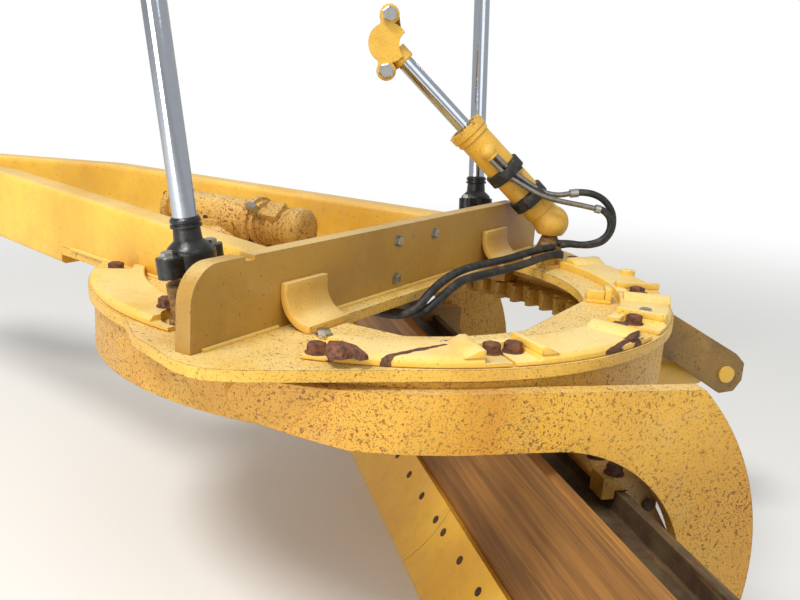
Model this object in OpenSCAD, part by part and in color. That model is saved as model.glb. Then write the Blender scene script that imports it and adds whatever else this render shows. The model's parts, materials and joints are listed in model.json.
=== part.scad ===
// Blade group of a motor grader: drawbar, turning circle and side-shifting moldboard.
// Lengths are in millimetres. The origin is the centre of the drawbar's front ball,
// +X points forward, +Y to the machine's left and +Z up.

/* [Drawbar] */
// Distance from the front ball back to the circle's axis
circle_back = 2450; // [2300:10:2600]
// Height of the front ball above the top of the yoke plate
ball_rise = 60; // [40:5:90]
// Outer width of the two beams where they pass the circle's axis
beams_wide = 1034; // [960:2:1100]
// Angle that each beam turns in towards the neck
beam_taper = 10.6; // [10:0.1:11]
// Width of one beam
beam_w = 95; // [80:1:110]
// Height of one beam
beam_h = 180; // [160:2:200]
// Radius of a beam's long edges
beam_edge = 18; // [8:1:30]
// Radius of the front ball
ball_r = 63.5; // [55:0.5:70]

/* [Yoke] */
// Radius of the yoke plate's rim
plate_r = 780; // [770:2:800]
// Thickness of the yoke plate
plate_t = 25; // [20:1:30]
// Half length of the cross plate
cross_half = 857; // [840:1:880]
// Thickness of the cross plate
cross_t = 40; // [30:1:50]
// Height of the cross plate
cross_h = 175; // [160:1:190]
// Distance of the cross plate's rear face behind the circle's axis
cross_back = 89; // [80:1:100]
// Radius of the cross plate's top corners
cross_round = 78; // [50:1:100]
// Thickness of the bolted covers on the rim
cover_t = 16; // [12:1:20]
// Width of the bolted covers on the rim
cover_w = 132; // [110:2:140]

/* [Circle] */
// Outer radius of the circle
ring_r = 765; // [755:1:768]
// Thickness of the circle's wall
ring_wall = 38; // [30:1:44]
// Height of the circle's wall
ring_h = 124; // [118:1:130]
// Rest angle of the circle about its axis
circle_turn = 45; // [45]
// Teeth inside the circle
ring_teeth = 66; // [66]
// Teeth of the drive pinion
pinion_teeth = 11; // [11]

/* [Blade arms] */
// Thickness of an arm
arm_t = 40; // [30:1:50]
// Height of an arm beside the circle
arm_h = 129; // [120:1:140]
// Radius of the inside of an arm's hook
hook_in_r = 328; // [320:1:335]
// Radius of the outside of an arm's hook
hook_out_r = 590; // [580:1:600]
// Radius of the eye at an arm's foot
arm_eye_r = 95; // [85:1:100]
// Radius of the tip hinge pin
tip_pin_r = 35; // [30:1:40]

/* [Moldboard] */
// Length of the moldboard
blade_len = 3658; // [3350:1:3670]
// Radius of the moldboard's front face
blade_r = 413; // [413]
// Thickness of the moldboard
blade_t = 22; // [18:1:25]
// Height of the cutting edges
edge_h = 203; // [190:1:210]
// Thickness of the cutting edges
edge_t = 19; // [14:1:22]
// Distance that the moldboard is shifted to the left at rest
blade_shift = 150; // [100:10:200]
// Width of an end bit
end_bit_w = 150; // [130:5:180]

/* [Cylinders] */
// Radius of the lift rods
lift_rod_r = 26; // [22:1:28]
// Radius of the lift barrels
lift_barrel_r = 62; // [58:1:66]
// Stroke of the lift cylinders
lift_stroke = 1070; // [1000:10:1100]
// Length of lift rod that shows at rest
lift_out = 700; // [640:10:760]
// Radius of the centre-shift barrel
shift_barrel_r = 51; // [48:1:54]
// Radius of the centre-shift rod
shift_rod_r = 25; // [22:1:28]
// Radius of the tip barrel
tip_barrel_r = 55; // [50:1:60]
// Radius of the side-shift barrel
slide_barrel_r = 42; // [38:1:44]
// Radius of the side-shift rod
slide_rod_r = 22; // [20:1:25]

/* [Hidden] */
$fn = 64;

yellow = [0.93, 0.68, 0.13];
dark = [0.12, 0.12, 0.13];
steel = [0.62, 0.62, 0.64];
rust = [0.45, 0.27, 0.16];
bronze = [0.62, 0.45, 0.22];

fit = 0.05;      // running clearance of pins, on the radius
seat = 0.3;      // gap between seated pieces of different bodies
weld = 0.2;      // gap between curved pieces that are welded

// Places of the drawbar's parts, from the circle's axis and the yoke plate's top
beam_low = ball_rise - beam_h / 2;
beam_out = beams_wide / 2;
apron_x = 905;
apron_back = 150;
neck_x = 2150;
neck_flange_x = 2330;
neck_half = 82;
cross_front = -cross_back + cross_t;

// The circle hangs below the yoke plate on a wear ring
wear_t = 6;
ring_top = -plate_t - wear_t;
ring_low = ring_top - ring_h;
flange_t = 45;
flange_in = ring_r - 73;
rim_h = 55;
shoe_in = ring_r - 125;
shoe_lip = 16;
pitch_ring = ring_r - 105;
gear_module = 2 * pitch_ring / ring_teeth;
pitch_pinion = gear_module * pinion_teeth / 2;
pinion_x = pitch_ring - pitch_pinion;
tooth_w = 1.35 * gear_module;
worm_y = 60;
worm_z = 112;
housing_r = pitch_pinion + 16;

// The arms' outline in the plane of an arm: x along the arm, z up
arm_y = ring_r + weld;
arm_top = ring_top - 12;
arm_low = arm_top - arm_h;
hook_in = [-190, arm_low - hook_in_r];
hook_out = [-107, -470];
tip_x = -575;
tip_z = -640;

// The moldboard's section, about the centre of its front face
blade_c = [155, -470];
blade_top_a = 146;
blade_low_a = 222;
edge_top_a = 205;
edge_r = blade_r - edge_t;
edge_sweep = edge_h / edge_r * 180 / PI;
blade_back_r = blade_r + blade_t;
rail_t = 22;
rail_lip_x = -380;
rail_top_z = -345;
rail_low_z = -590;
rail_lip_h = 48;
jaw_gap = 3;
jaw_t = 30;
bracket_t = 60;
bracket_y = ring_r - bracket_t - 15;
spine_x = rail_lip_x - rail_t / 2 - 6;
bar_x = spine_x - 50;
bar_z = -430;
bar_r = 38;
spine_w = 75;

// The side-shift cylinder lies between the rails
slide_x = -345;
slide_z = -445;
slide_base_y = -350;
slide_gland_y = 940;
slide_eye_y = 1610 + blade_shift;
slide_piston_y = 350 + blade_shift;
slide_clamp = 12;

// The tip cylinder, between the circle's rear lug and the crossbar
lug_x = -ring_r - 305;
lug_z = -263;
ear_x = -520;
ear_z = -300;
tip_pin_small = 26;
ear_play = 22;
pin_gap = 5;

// The lift cylinders stand on ball studs ahead of the cross plate
lift_shut = 102;
lift_tail = 115;
stud_x = 70;
stud_y = cross_half - 167;
stud_z = 145;
stud_ball_r = 38;
lift_lean = [0.11, 0.10, 1];
lift_len = norm(lift_lean);
lift_az = atan2(lift_lean[1], lift_lean[0]);

// The centre-shift cylinder, from the yoke plate up to the left
shift_foot = [-220, 197 - cross_half, 126];
shift_head = shift_foot + [475, 304, 521];
shift_way = shift_head - shift_foot;
shift_len = norm(shift_way);
shift_gland = 430;
shift_piston = 370;
shift_ball_r = 36;

// Rim covers, each from one angle to the next; the last is beside the right beam
COVERS = [[40, 86], [109.5, 141.7], [142.3, 175.5], [179.5, 206], [207, 245], [274, 320]];
// Angles of the raised wedge lugs on the covers
LUGS = [134, 171, 196, 229];
// Angles of the shoes that hold the circle up
SHOES = [40, 90, 140, 220, 270, 320];

module place() translate([-circle_back, 0, -ball_rise]) children();
module turned() place() rotate([0, 0, circle_turn]) children();

// An outline drawn in x and z, as a plate from y0 to y0 + t
module plate_xz(y0, t) translate([0, y0 + t, 0]) rotate([90, 0, 0]) linear_extrude(t) children();
// An outline drawn in y and z, run along x from x0
module run_x(x0, len) translate([x0, 0, 0]) rotate([90, 0, 90]) linear_extrude(len) children();
module both_sides() {
    children();
    mirror([0, 1, 0]) children();
}
// Turns +Z to point along a vector
module aim(v) {
    rotate([0, acos(v[2] / norm(v)), atan2(v[1], v[0])]) children();
}
module arc_band(r0, r1, a0, a1, h)
    rotate([0, 0, a0]) rotate_extrude(angle = a1 - a0, $fn = 180) translate([r0, 0]) square([r1 - r0, h]);
module soft_square(w, h, r) {
    translate([r, 0]) square([w - 2 * r, h]);
    translate([0, r]) square([w, h - 2 * r]);
    for (x = [r, w - r], y = [r, h - r]) translate([x, y]) circle(r);
}
module tube(r, bore, h) difference() {
    cylinder(r = r, h = h);
    translate([0, 0, -1]) cylinder(r = bore, h = h + 2);
}

// Drawbar
module beam() {
    slant = (neck_x - cross_front) / cos(beam_taper);
    start = beam_out - cross_front * tan(beam_taper);
    difference() {
        translate([cross_front, start, 0]) rotate([0, 0, -beam_taper])
            translate([-40, -beam_w, beam_low]) rotate([90, 0, 90])
                linear_extrude(slant + 60) soft_square(beam_w, beam_h, beam_edge);
        translate([cross_front - 200, 0, beam_low - 1]) cube([200, beam_out * 2, beam_h + 2]);
        translate([neck_x, -beam_out, beam_low - 1]) cube([200, beam_out * 2, beam_h + 2]);
        translate([cross_front - 1, 0, beam_low - 1]) cube([apron_x - cross_front + 1, beam_out * 2, 1 - beam_low]);
        translate([cross_front, -beam_out, beam_low - 1]) cube([neck_x, beam_out, beam_h + 2]);
    }
}
module beam_left() color(yellow) place() beam();
module beam_right() color(yellow) place() mirror([0, 1, 0]) beam();
module drawbar_neck() color(yellow) place() {
    rear_half = beam_out - neck_x * tan(beam_taper);
    translate([0, 0, beam_low]) linear_extrude(beam_h)
        polygon([[neck_x, rear_half], [neck_flange_x, neck_half], [neck_flange_x, -neck_half], [neck_x, -rear_half]]);
}
module drawbar_ball() color(steel) {
    flange_back = neck_flange_x - circle_back;
    translate([flange_back, 0, 0]) rotate([0, 90, 0]) rotate_extrude($fn = 96)
        polygon([[0, 0], [92, 0], [92, 22], [70, 26], [44, 48], [40, 70], [0, 70]]);
    difference() {
        sphere(ball_r, $fn = 96);
        translate([-2 * ball_r + flange_back + 70, 0, 0]) cube(2 * ball_r, center = true);
    }
}

// Yoke
module apron_outline() {
    back_y = beam_out - apron_back * tan(beam_taper);
    front_y = beam_out - apron_x * tan(beam_taper);
    polygon([[apron_back, back_y], [apron_x, front_y], [apron_x, -front_y], [apron_back, -back_y]]);
}
module plate_outline() difference() {
    union() {
        circle(plate_r, $fn = 180);
        both_sides() {
            polygon([[204, 700], [204, 752], [87, 837], [-85, 897], [-160, 895], [-226, 852],
                [-328, 757], [-533, 569], [-300, 500]]);
            translate([-125, 862]) circle(38);
        }
    }
    intersection() {
        circle(548, $fn = 180);
        translate([-512, -440]) square([512 - cross_back - 45, 880]);
    }
    translate([pinion_x, 0]) circle(housing_r);
}
module yoke_plate() color(yellow) place() translate([0, 0, -plate_t]) {
    linear_extrude(plate_t) plate_outline();
    linear_extrude(plate_t) difference() {
        apron_outline();
        circle(plate_r - 60, $fn = 180);
    }
}
module cross_outline() {
    translate([-cross_half, 0]) square([2 * cross_half, cross_h - cross_round]);
    translate([-cross_half + cross_round, 0]) square([2 * (cross_half - cross_round), cross_h]);
    for (s = [-1, 1]) translate([s * (cross_half - cross_round), cross_h - cross_round]) circle(cross_round);
}
module cross_plate() color(yellow) place() run_x(-cross_back, cross_t) difference() {
    cross_outline();
    for (s = [-1, 1]) translate([s * (stud_y - 6) - 16, cross_h - 10]) square([32, 20]);
}
module guard_outline() difference() {
    square([92, 118]);
    translate([100, 124]) circle(84);
    translate([40, 90]) square([80, 60]);
}
module hose_guards() color(yellow) place()
    both_sides() translate([-cross_back, 0, 0]) mirror([1, 0, 0]) plate_xz(330, 240) guard_outline();
module rim_covers() color(yellow) place()
    for (c = COVERS) difference() {
        arc_band(plate_r - cover_w - 6, plate_r - 6, c[0], c[1], cover_t);
        both_sides() translate([-cross_back - 1, 400, -1]) cube([cross_t + 2, 600, cover_t + 2]);
        both_sides() translate([stud_x, stud_y, -1]) cylinder(r = 62, h = cover_t + 2);
        for (s = [-1, 1]) translate([0, s * (beam_out + 1), -1]) rotate([0, 0, -s * beam_taper])
            translate([0, s > 0 ? -400 : 0, 0]) cube([1000, 400, cover_t + 2]);
    }
module cover_lugs() color(yellow) place()
    for (a = LUGS) rotate([0, 0, a]) translate([plate_r - cover_w - 4, 0, cover_t]) plate_xz(-26, 52)
        polygon([[0, 0], [0, 30], [52, 26], [118, 8], [118, 0]]);
module wear_ring() color(bronze) place() translate([0, 0, ring_top + seat])
    tube(ring_r - 4, flange_in + 6, wear_t - seat, $fn = 180);
module circle_shoes() color(yellow) place()
    for (a = SHOES) {
        translate([0, 0, ring_top - flange_t - seat - shoe_lip])
            arc_band(shoe_in, flange_in - 3, a - 8, a + 8, flange_t + seat + shoe_lip + wear_t);
        translate([0, 0, ring_top - flange_t - seat - shoe_lip])
            arc_band(flange_in - 3, flange_in + 28, a - 8, a + 8, shoe_lip);
    }
module gear_housing() color(yellow) place() difference() {
    translate([pinion_x, 0, 0]) union() {
        translate([0, 0, -plate_t - 20]) cylinder(r = housing_r - seat, h = plate_t + 20);
        translate([0, 0, 0]) cylinder(r = 168, h = 26, $fn = 96);
        translate([0, 0, 26]) cylinder(r = 140, h = 96, $fn = 96);
        translate([0, 0, 122]) cylinder(r = 96, h = 24, $fn = 96);
        // The worm's tunnel, on the left of the wheel, in line with the motor
        translate([-150, worm_y, worm_z]) rotate([0, 90, 0]) cylinder(r = 62, h = 300);
        translate([-160, worm_y, worm_z]) rotate([0, 90, 0]) cylinder(r = 76, h = 22);
        translate([150, worm_y, worm_z]) rotate([0, 90, 0]) cylinder(r = 76, h = 22);
    }
    translate([pinion_x, 0, -plate_t - 21]) cylinder(r = 45 + fit, h = plate_t + 61);
}
module drive_motor() color(yellow) place() translate([pinion_x - 160, worm_y, worm_z]) rotate([0, -90, 0]) {
    cylinder(r = 66, h = 16);
    translate([0, 0, 16]) cylinder(r = 52, h = 110);
    translate([0, 0, 126]) cylinder(r = 60, h = 34);
    translate([0, 0, 160]) cylinder(r = 44, h = 12);
}
module ball_stud(ball, rise) {
    cylinder(r = 52, h = 30);
    translate([0, 0, 30]) cylinder(r1 = 46, r2 = ball * 0.52, h = rise - 30 - ball * 0.82);
    translate([0, 0, rise]) sphere(ball, $fn = 64);
}
module lift_studs() color(steel) place()
    both_sides() translate([stud_x, stud_y, 0]) ball_stud(stud_ball_r, stud_z);
module shift_stud() color(steel) place() translate([shift_foot[0], shift_foot[1], 0])
    ball_stud(shift_ball_r, shift_foot[2]);
module hose_post() color(yellow) place() rotate([0, 0, 244]) translate([plate_r - cover_w - 38, 0, 0]) {
    translate([-30, -22, 0]) cube([60, 44, 10]);
    translate([-22, -6, 10]) cube([44, 12, 42]);
}

// Circle
module ring_tooth() polygon([[pitch_ring + 24, -17], [pitch_ring + 24, 17], [pitch_ring, tooth_w / 2],
    [pitch_ring - 15, 8], [pitch_ring - 15, -8], [pitch_ring, -tooth_w / 2]]);
module circle_ring() color(yellow) turned() {
    translate([0, 0, ring_low]) rotate_extrude($fn = 180) {
        translate([ring_r - ring_wall, 0]) square([ring_wall, ring_h]);
        translate([flange_in, ring_h - flange_t]) square([ring_r - flange_in - 1, flange_t]);
        translate([pitch_ring + 21, 0]) square([ring_r - pitch_ring - 22, rim_h]);
    }
    translate([0, 0, ring_low]) linear_extrude(rim_h)
        for (k = [0:ring_teeth - 1])
            rotate([0, 0, (k + 0.5) * 360 / ring_teeth - circle_turn]) ring_tooth();
}
module arm_side_outline() difference() {
    union() {
        translate([-505, arm_low]) square([505, arm_h]);
        intersection() {
            translate(hook_out) circle(hook_out_r, $fn = 180);
            translate([-720, arm_low - 330]) square([720, 330 + arm_h]);
        }
        intersection() {
            translate(hook_out) circle(hook_out_r, $fn = 180);
            translate([-720, -660]) square([260, 320]);
        }
        translate([tip_x, tip_z]) circle(arm_eye_r, $fn = 96);
        polygon([[tip_x - arm_eye_r, tip_z], [-697, hook_out[1]], [-518, hook_out[1]], [tip_x + arm_eye_r, tip_z]]);
    }
    difference() {
        union() {
            translate(hook_in) circle(hook_in_r, $fn = 180);
            translate([hook_in[0], hook_in[1] - 400]) square([800, 400 + hook_in_r]);
        }
        translate([-518 - 200, -900]) square([200, 900 + hook_in[1]]);
    }
    translate([hook_in[0] - 270, -900]) square([600, 900 + hook_in[1]]);
}
module arm_nose_outline() intersection() {
    polygon([[-1, arm_low], [240, arm_low + 4], [401, arm_low + 34], [440, arm_low + 42],
        [700, arm_low + 60], [700, arm_top], [-1, arm_top]]);
    union() {
        translate([-1, arm_low]) square([420, arm_h]);
        translate([420, arm_low + 78]) circle(50);
    }
}
module blade_arm() {
    difference() {
        plate_xz(arm_y, arm_t) arm_side_outline();
        translate([tip_x, arm_y - 1, tip_z]) rotate([-90, 0, 0]) cylinder(r = tip_pin_r + fit, h = arm_t + 2);
    }
    intersection() {
        translate([0, 0, arm_low]) arc_band(arm_y, arm_y + arm_t, 45, 90, arm_h);
        plate_xz(400, 500) arm_nose_outline();
    }
}
module arm_left() color(yellow) turned() blade_arm();
module arm_right() color(yellow) turned() mirror([0, 1, 0]) blade_arm();
module tip_lug() color(yellow) turned() {
    both_sides() difference() {
        plate_xz(62, 30) difference() {
            union() {
                polygon([[25 - ring_r, ring_top - 6], [-ring_r - 35, ring_top - 10], [lug_x - 20, lug_z + 58],
                    [lug_x, lug_z - 60], [-ring_r - 135, ring_low - 75], [25 - ring_r, ring_low]]);
                translate([lug_x, lug_z]) circle(60);
            }
            translate([lug_x, lug_z]) circle(tip_pin_small + fit);
        }
        translate([0, 0, ring_low - 200]) cylinder(r = ring_r + weld, h = 400, $fn = 180);
    }
}

// Circle drive
module pinion_tooth() polygon([[60, -16], [pitch_pinion - 16, -16], [pitch_pinion, -tooth_w / 2 + 1], [pitch_pinion + 13, -6],
    [pitch_pinion + 13, 6], [pitch_pinion, tooth_w / 2 - 1], [pitch_pinion - 16, 16], [60, 16]]);
module drive_pinion() color(steel) place() translate([pinion_x, 0, 0]) {
    translate([0, 0, ring_low + 2]) linear_extrude(rim_h - 4) {
        circle(pitch_pinion - 17, $fn = 96);
        for (k = [0:pinion_teeth - 1]) rotate([0, 0, k * 360 / pinion_teeth]) pinion_tooth();
    }
    translate([0, 0, ring_low + rim_h - 2]) cylinder(r = 45, h = 30 - ring_low - rim_h);
}

// Tip frame
module jaw_outline() {
    // Spine behind the rails, jaws over the upper rail and under the lower one
    top = rail_top_z + rail_lip_h + jaw_gap;
    low = rail_low_z - rail_lip_h - jaw_gap;
    front = rail_lip_x + rail_t / 2 + jaw_gap + jaw_t;
    translate([spine_x - spine_w, low - jaw_t]) square([spine_w, top - low + 2 * jaw_t]);
    translate([spine_x - spine_w, top]) square([front - spine_x + spine_w, jaw_t]);
    translate([spine_x - spine_w, low - jaw_t]) square([front - spine_x + spine_w, jaw_t]);
    translate([front - jaw_t, top - 20]) square([jaw_t, 21]);
    translate([front - jaw_t, low - 1]) square([jaw_t, 21]);
    // Web down to the hinge
    polygon([[spine_x - 40, top - 40], [spine_x - 72, top - 40], [tip_x - 70, tip_z + 20], [tip_x, tip_z - 78],
        [spine_x - 40, low - jaw_t + 2]]);
    translate([tip_x, tip_z]) circle(80);
}
module tip_bracket(collar) {
    plate_xz(bracket_y, bracket_t) difference() {
        union() {
            jaw_outline();
            if (collar) {
                translate([slide_x, slide_z]) circle(slide_barrel_r + slide_clamp);
                translate([spine_x - 5, slide_z - slide_barrel_r]) square([slide_x - spine_x, 2 * slide_barrel_r]);
            }
        }
        if (collar) translate([slide_x, slide_z]) circle(slide_barrel_r + weld);
    }
    translate([tip_x, bracket_y + bracket_t, tip_z]) rotate([-90, 0, 0])
        cylinder(r = tip_pin_r, h = arm_y - bracket_y - bracket_t + arm_t + pin_gap);
    translate([tip_x, arm_y + arm_t + pin_gap, tip_z]) rotate([-90, 0, 0]) cylinder(r = 46, h = 10);
}
module tip_bracket_left() color(yellow) turned() tip_bracket(true);
module tip_bracket_right() color(yellow) turned() mirror([0, 1, 0]) tip_bracket(false);
module tip_crossbar() color(yellow) turned() {
    translate([bar_x, -bracket_y, bar_z]) rotate([-90, 0, 0]) cylinder(r = bar_r, h = 2 * bracket_y);
    both_sides() plate_xz(52, 26) difference() {
        union() {
            polygon([[bar_x - 54, bar_z - 12], [bar_x + 54, bar_z + 12], [ear_x + 72, ear_z + 18], [ear_x - 72, ear_z - 18]]);
            translate([bar_x, bar_z]) circle(bar_r + 16);
            translate([ear_x, ear_z]) circle(74);
        }
        translate([ear_x, ear_z]) circle(tip_pin_small + ear_play);
        translate([bar_x, bar_z]) circle(bar_r + weld);
    }
    // Saddle for the base of the side-shift barrel
    plate_xz(slide_base_y + 20, 30) difference() {
        union() {
            polygon([[bar_x, bar_z + bar_r + 10], [bar_x, bar_z - bar_r - 10],
                [slide_x, slide_z - slide_barrel_r - slide_clamp], [slide_x, slide_z + slide_barrel_r + slide_clamp]]);
            translate([bar_x, bar_z]) circle(bar_r + 10);
            translate([slide_x, slide_z]) circle(slide_barrel_r + slide_clamp);
        }
        translate([slide_x, slide_z]) circle(slide_barrel_r + weld);
        translate([bar_x, bar_z]) circle(bar_r + weld);
    }
}
module slide_inserts() color(bronze) turned() for (s = [0, 1]) mirror([0, s, 0])
    for (z = [rail_top_z, rail_low_z - rail_lip_h])
        translate([spine_x, bracket_y, z]) cube([rail_lip_x - rail_t / 2 - seat - spine_x, bracket_t, rail_lip_h]);
module side_shift_barrel() color(yellow) turned() translate([slide_x, slide_base_y, slide_z]) rotate([-90, 0, 0])
    difference() {
        union() {
            cylinder(r = slide_barrel_r, h = slide_gland_y - slide_base_y);
            translate([0, 0, slide_gland_y - slide_base_y - 40]) cylinder(r = slide_barrel_r + 5, h = 40);
        }
        translate([0, 0, 25]) cylinder(r = slide_barrel_r - 9, h = slide_gland_y - slide_base_y - 25 - 38);
        translate([0, 0, 25]) cylinder(r = slide_rod_r + fit, h = slide_gland_y - slide_base_y);
    }

// Moldboard
module blade_arc(r0, r1, a0, a1, y0, len)
    translate([blade_c[0], y0 + len, blade_c[1]]) rotate([90, 0, 0]) rotate([0, 0, a0]) linear_extrude(len)
        intersection() {
            difference() {
                circle(r1, $fn = 180);
                circle(r0, $fn = 180);
            }
            polygon([[0, 0], [2 * r1, 0], [2 * r1 * cos((a1 - a0) / 2), 2 * r1 * sin((a1 - a0) / 2)],
                [2 * r1 * cos(a1 - a0), 2 * r1 * sin(a1 - a0)]]);
        }
blade_y = -blade_len / 2 + blade_shift;
module moldboard() color(rust) turned() blade_arc(blade_r, blade_back_r, blade_top_a, blade_low_a, blade_y, blade_len);
module rail_outline() {
    foot = [rail_lip_x - rail_t / 2, rail_top_z - rail_t];
    translate(foot) square([170, rail_t]);
    translate([rail_lip_x - rail_t / 2, rail_top_z - rail_t]) square([rail_t, rail_lip_h + rail_t]);
    translate([rail_lip_x - rail_t / 2, rail_low_z]) square([170, rail_t]);
    translate([rail_lip_x - rail_t / 2, rail_low_z - rail_lip_h]) square([rail_t, rail_lip_h + rail_t]);
}
module blade_rails() color(yellow) turned() difference() {
    plate_xz(blade_y + 60, blade_len - 120) rail_outline();
    translate([blade_c[0], blade_y, blade_c[1]]) rotate([-90, 0, 0]) cylinder(r = blade_back_r + weld, h = blade_len, $fn = 180);
}
module cutting_edges() color(yellow) turned() for (s = [0, 1])
    blade_arc(edge_r, blade_r - weld, edge_top_a, edge_top_a + edge_sweep,
        blade_y + end_bit_w + 1 + s * (blade_len / 2 - end_bit_w), blade_len / 2 - end_bit_w - 2);
module end_bits() color(yellow) turned() for (s = [0, 1])
    blade_arc(edge_r, blade_r - weld, edge_top_a - 14, edge_top_a + edge_sweep,
        blade_y + s * (blade_len - end_bit_w), end_bit_w);
module side_shift_rod() color(steel) turned() {
    translate([slide_x, slide_piston_y, slide_z]) rotate([-90, 0, 0])
        cylinder(r = slide_rod_r, h = slide_eye_y - slide_piston_y);
    translate([slide_x, slide_eye_y, slide_z]) rotate([-90, 0, 0]) cylinder(r = 40, h = 50);
    difference() {
        translate([slide_x, slide_eye_y + 50, slide_z - 45]) cube([120, 24, 90]);
        translate([blade_c[0], blade_y, blade_c[1]]) rotate([-90, 0, 0]) cylinder(r = blade_back_r + weld, h = blade_len, $fn = 180);
    }
}

// Tip cylinder
tip_way = [ear_x - lug_x, 0, ear_z - lug_z];
tip_len = norm(tip_way);
tip_gland = 380;
module tip_line() turned() translate([lug_x, 0, lug_z]) aim(tip_way) children();
module tip_barrel() color(yellow) {
    tip_line() {
        difference() {
            union() {
                translate([0, 0, 50]) cylinder(r = tip_barrel_r, h = tip_gland - 50);
                translate([0, 0, tip_gland - 30]) cylinder(r = tip_barrel_r + 5, h = 30);
                rotate([90, 0, 0]) translate([0, 0, -45]) cylinder(r = 55, h = 90);
            }
            translate([0, 0, 75]) cylinder(r = tip_barrel_r - 9, h = tip_gland - 75 - 36);
            translate([0, 0, 75]) cylinder(r = 28 + fit, h = tip_gland);
        }
        rotate([90, 0, 0]) translate([0, 0, -98]) cylinder(r = tip_pin_small, h = 196);
    }
}
module tip_rod() color(steel) tip_line() {
    translate([0, 0, 215]) cylinder(r = 28, h = tip_len - 215);
    translate([0, 0, tip_len]) rotate([90, 0, 0]) {
        translate([0, 0, -42]) cylinder(r = 48, h = 84);
        translate([0, 0, -90]) cylinder(r = tip_pin_small, h = 180);
        for (s = [0, 1]) mirror([0, 0, s]) translate([0, 0, 80]) cylinder(r = 62, h = 10);
    }
}

// Lift cylinders
module lift_line() place() translate([stud_x, stud_y, stud_z]) aim(lift_lean) children();
module lift_socket() {
    difference() {
        union() {
            translate([0, 0, -28]) cylinder(r = 60, h = 56);
            translate([0, 0, 20]) cylinder(r = 46, h = 50);
            translate([0, 0, 70]) cylinder(r = 34, h = 22);
        }
        sphere(stud_ball_r + seat, $fn = 64);
        translate([0, 0, -60]) cylinder(r1 = 62, r2 = 30, h = 52);
    }
}
module lift_rod() difference() {
    translate([0, 0, 60]) cylinder(r = lift_rod_r, h = lift_shut + lift_stroke + lift_tail - 60);
    translate([0, 0, 59]) cylinder(r = lift_rod_r + 1, h = 33 + weld);
}
module lift_barrel() {
    length = lift_stroke + 150;
    difference() {
        union() {
            translate([0, 0, lift_out]) cylinder(r = lift_barrel_r, h = length);
            translate([0, 0, lift_out]) cylinder(r = lift_barrel_r + 9, h = 60);
            translate([0, 0, lift_out + 150]) cylinder(r = lift_barrel_r + 14, h = 90);
            translate([0, 0, lift_out + 195]) rotate([0, 0, -lift_az]) rotate([90, 0, 0]) {
                translate([0, 0, -78]) cylinder(r = 41, h = 156);
                translate([0, 0, -120]) cylinder(r = 32, h = 240);
            }
        }
        translate([0, 0, lift_out + 60]) cylinder(r = lift_barrel_r - 10, h = length - 90);
        translate([0, 0, lift_out - 1]) cylinder(r = lift_rod_r + fit, h = 200);
    }
}
module lift_rod_left() color(steel) lift_line() lift_rod();
module lift_socket_left() color(dark) lift_line() lift_socket();
module lift_barrel_left() color(yellow) lift_line() lift_barrel();
module lift_rod_right() color(steel) mirror([0, 1, 0]) lift_line() lift_rod();
module lift_socket_right() color(dark) mirror([0, 1, 0]) lift_line() lift_socket();
module lift_barrel_right() color(yellow) mirror([0, 1, 0]) lift_line() lift_barrel();

// Centre-shift cylinder
module shift_line() place() translate(shift_foot) aim(shift_way) children();
module shift_barrel() color(yellow) difference() {
    shift_line() difference() {
        union() {
            sphere(52, $fn = 96);
            cylinder(r = 46, h = 50);
            translate([0, 0, 46]) cylinder(r = shift_barrel_r, h = shift_gland - 46);
            translate([0, 0, shift_gland - 34]) cylinder(r = shift_barrel_r + 7, h = 34);
        }
        sphere(shift_ball_r + seat, $fn = 64);
        translate([0, 0, 62]) cylinder(r = shift_barrel_r - 8, h = shift_gland - 62 - 30);
        translate([0, 0, 62]) cylinder(r = shift_rod_r + fit, h = shift_gland);
    }
    place() translate(shift_foot) translate([0, 0, -100]) cylinder(r1 = 100, r2 = 16, h = 84);
}
module shift_rod() color(steel) shift_line()
    translate([0, 0, shift_piston]) cylinder(r = shift_rod_r, h = shift_len - shift_piston - 58);
module shift_cap() color(yellow) shift_line() translate([0, 0, shift_len]) difference() {
    union() {
        translate([0, 0, -58]) cylinder(r = 34, h = 30);
        translate([0, 0, -30]) cylinder(r = 62, h = 52);
    }
    sphere(40, $fn = 64);
    translate([0, 0, 18]) cylinder(r1 = 34, r2 = 40, h = 6);
}

beam_left();
beam_right();
drawbar_neck();
drawbar_ball();
yoke_plate();
cross_plate();
hose_guards();
rim_covers();
cover_lugs();
wear_ring();
circle_shoes();
gear_housing();
drive_motor();
lift_studs();
shift_stud();
hose_post();
circle_ring();
arm_left();
arm_right();
tip_lug();
drive_pinion();
tip_bracket_left();
tip_bracket_right();
tip_crossbar();
slide_inserts();
side_shift_barrel();
moldboard();
blade_rails();
cutting_edges();
end_bits();
side_shift_rod();
tip_barrel();
tip_rod();
lift_rod_left();
lift_socket_left();
lift_barrel_left();
lift_rod_right();
lift_socket_right();
lift_barrel_right();
shift_barrel();
shift_rod();
shift_cap();
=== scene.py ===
"""Dresses the blade group of a motor grader: worn yellow paint, rust, chrome, bolts, welds and hoses.

Every length is in metres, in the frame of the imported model. Its origin is the centre of the
drawbar's front ball, +X points forward, +Y to the machine's left and +Z up. Places on the yoke
are written from the circle's axis and the yoke plate's top face, as the real group is measured.
"""

import json
import logging
import math
import random
from collections.abc import Sequence
from dataclasses import dataclass, field
from enum import Enum

import bmesh
import bpy
from mathutils import Matrix, Quaternion, Vector

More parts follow.
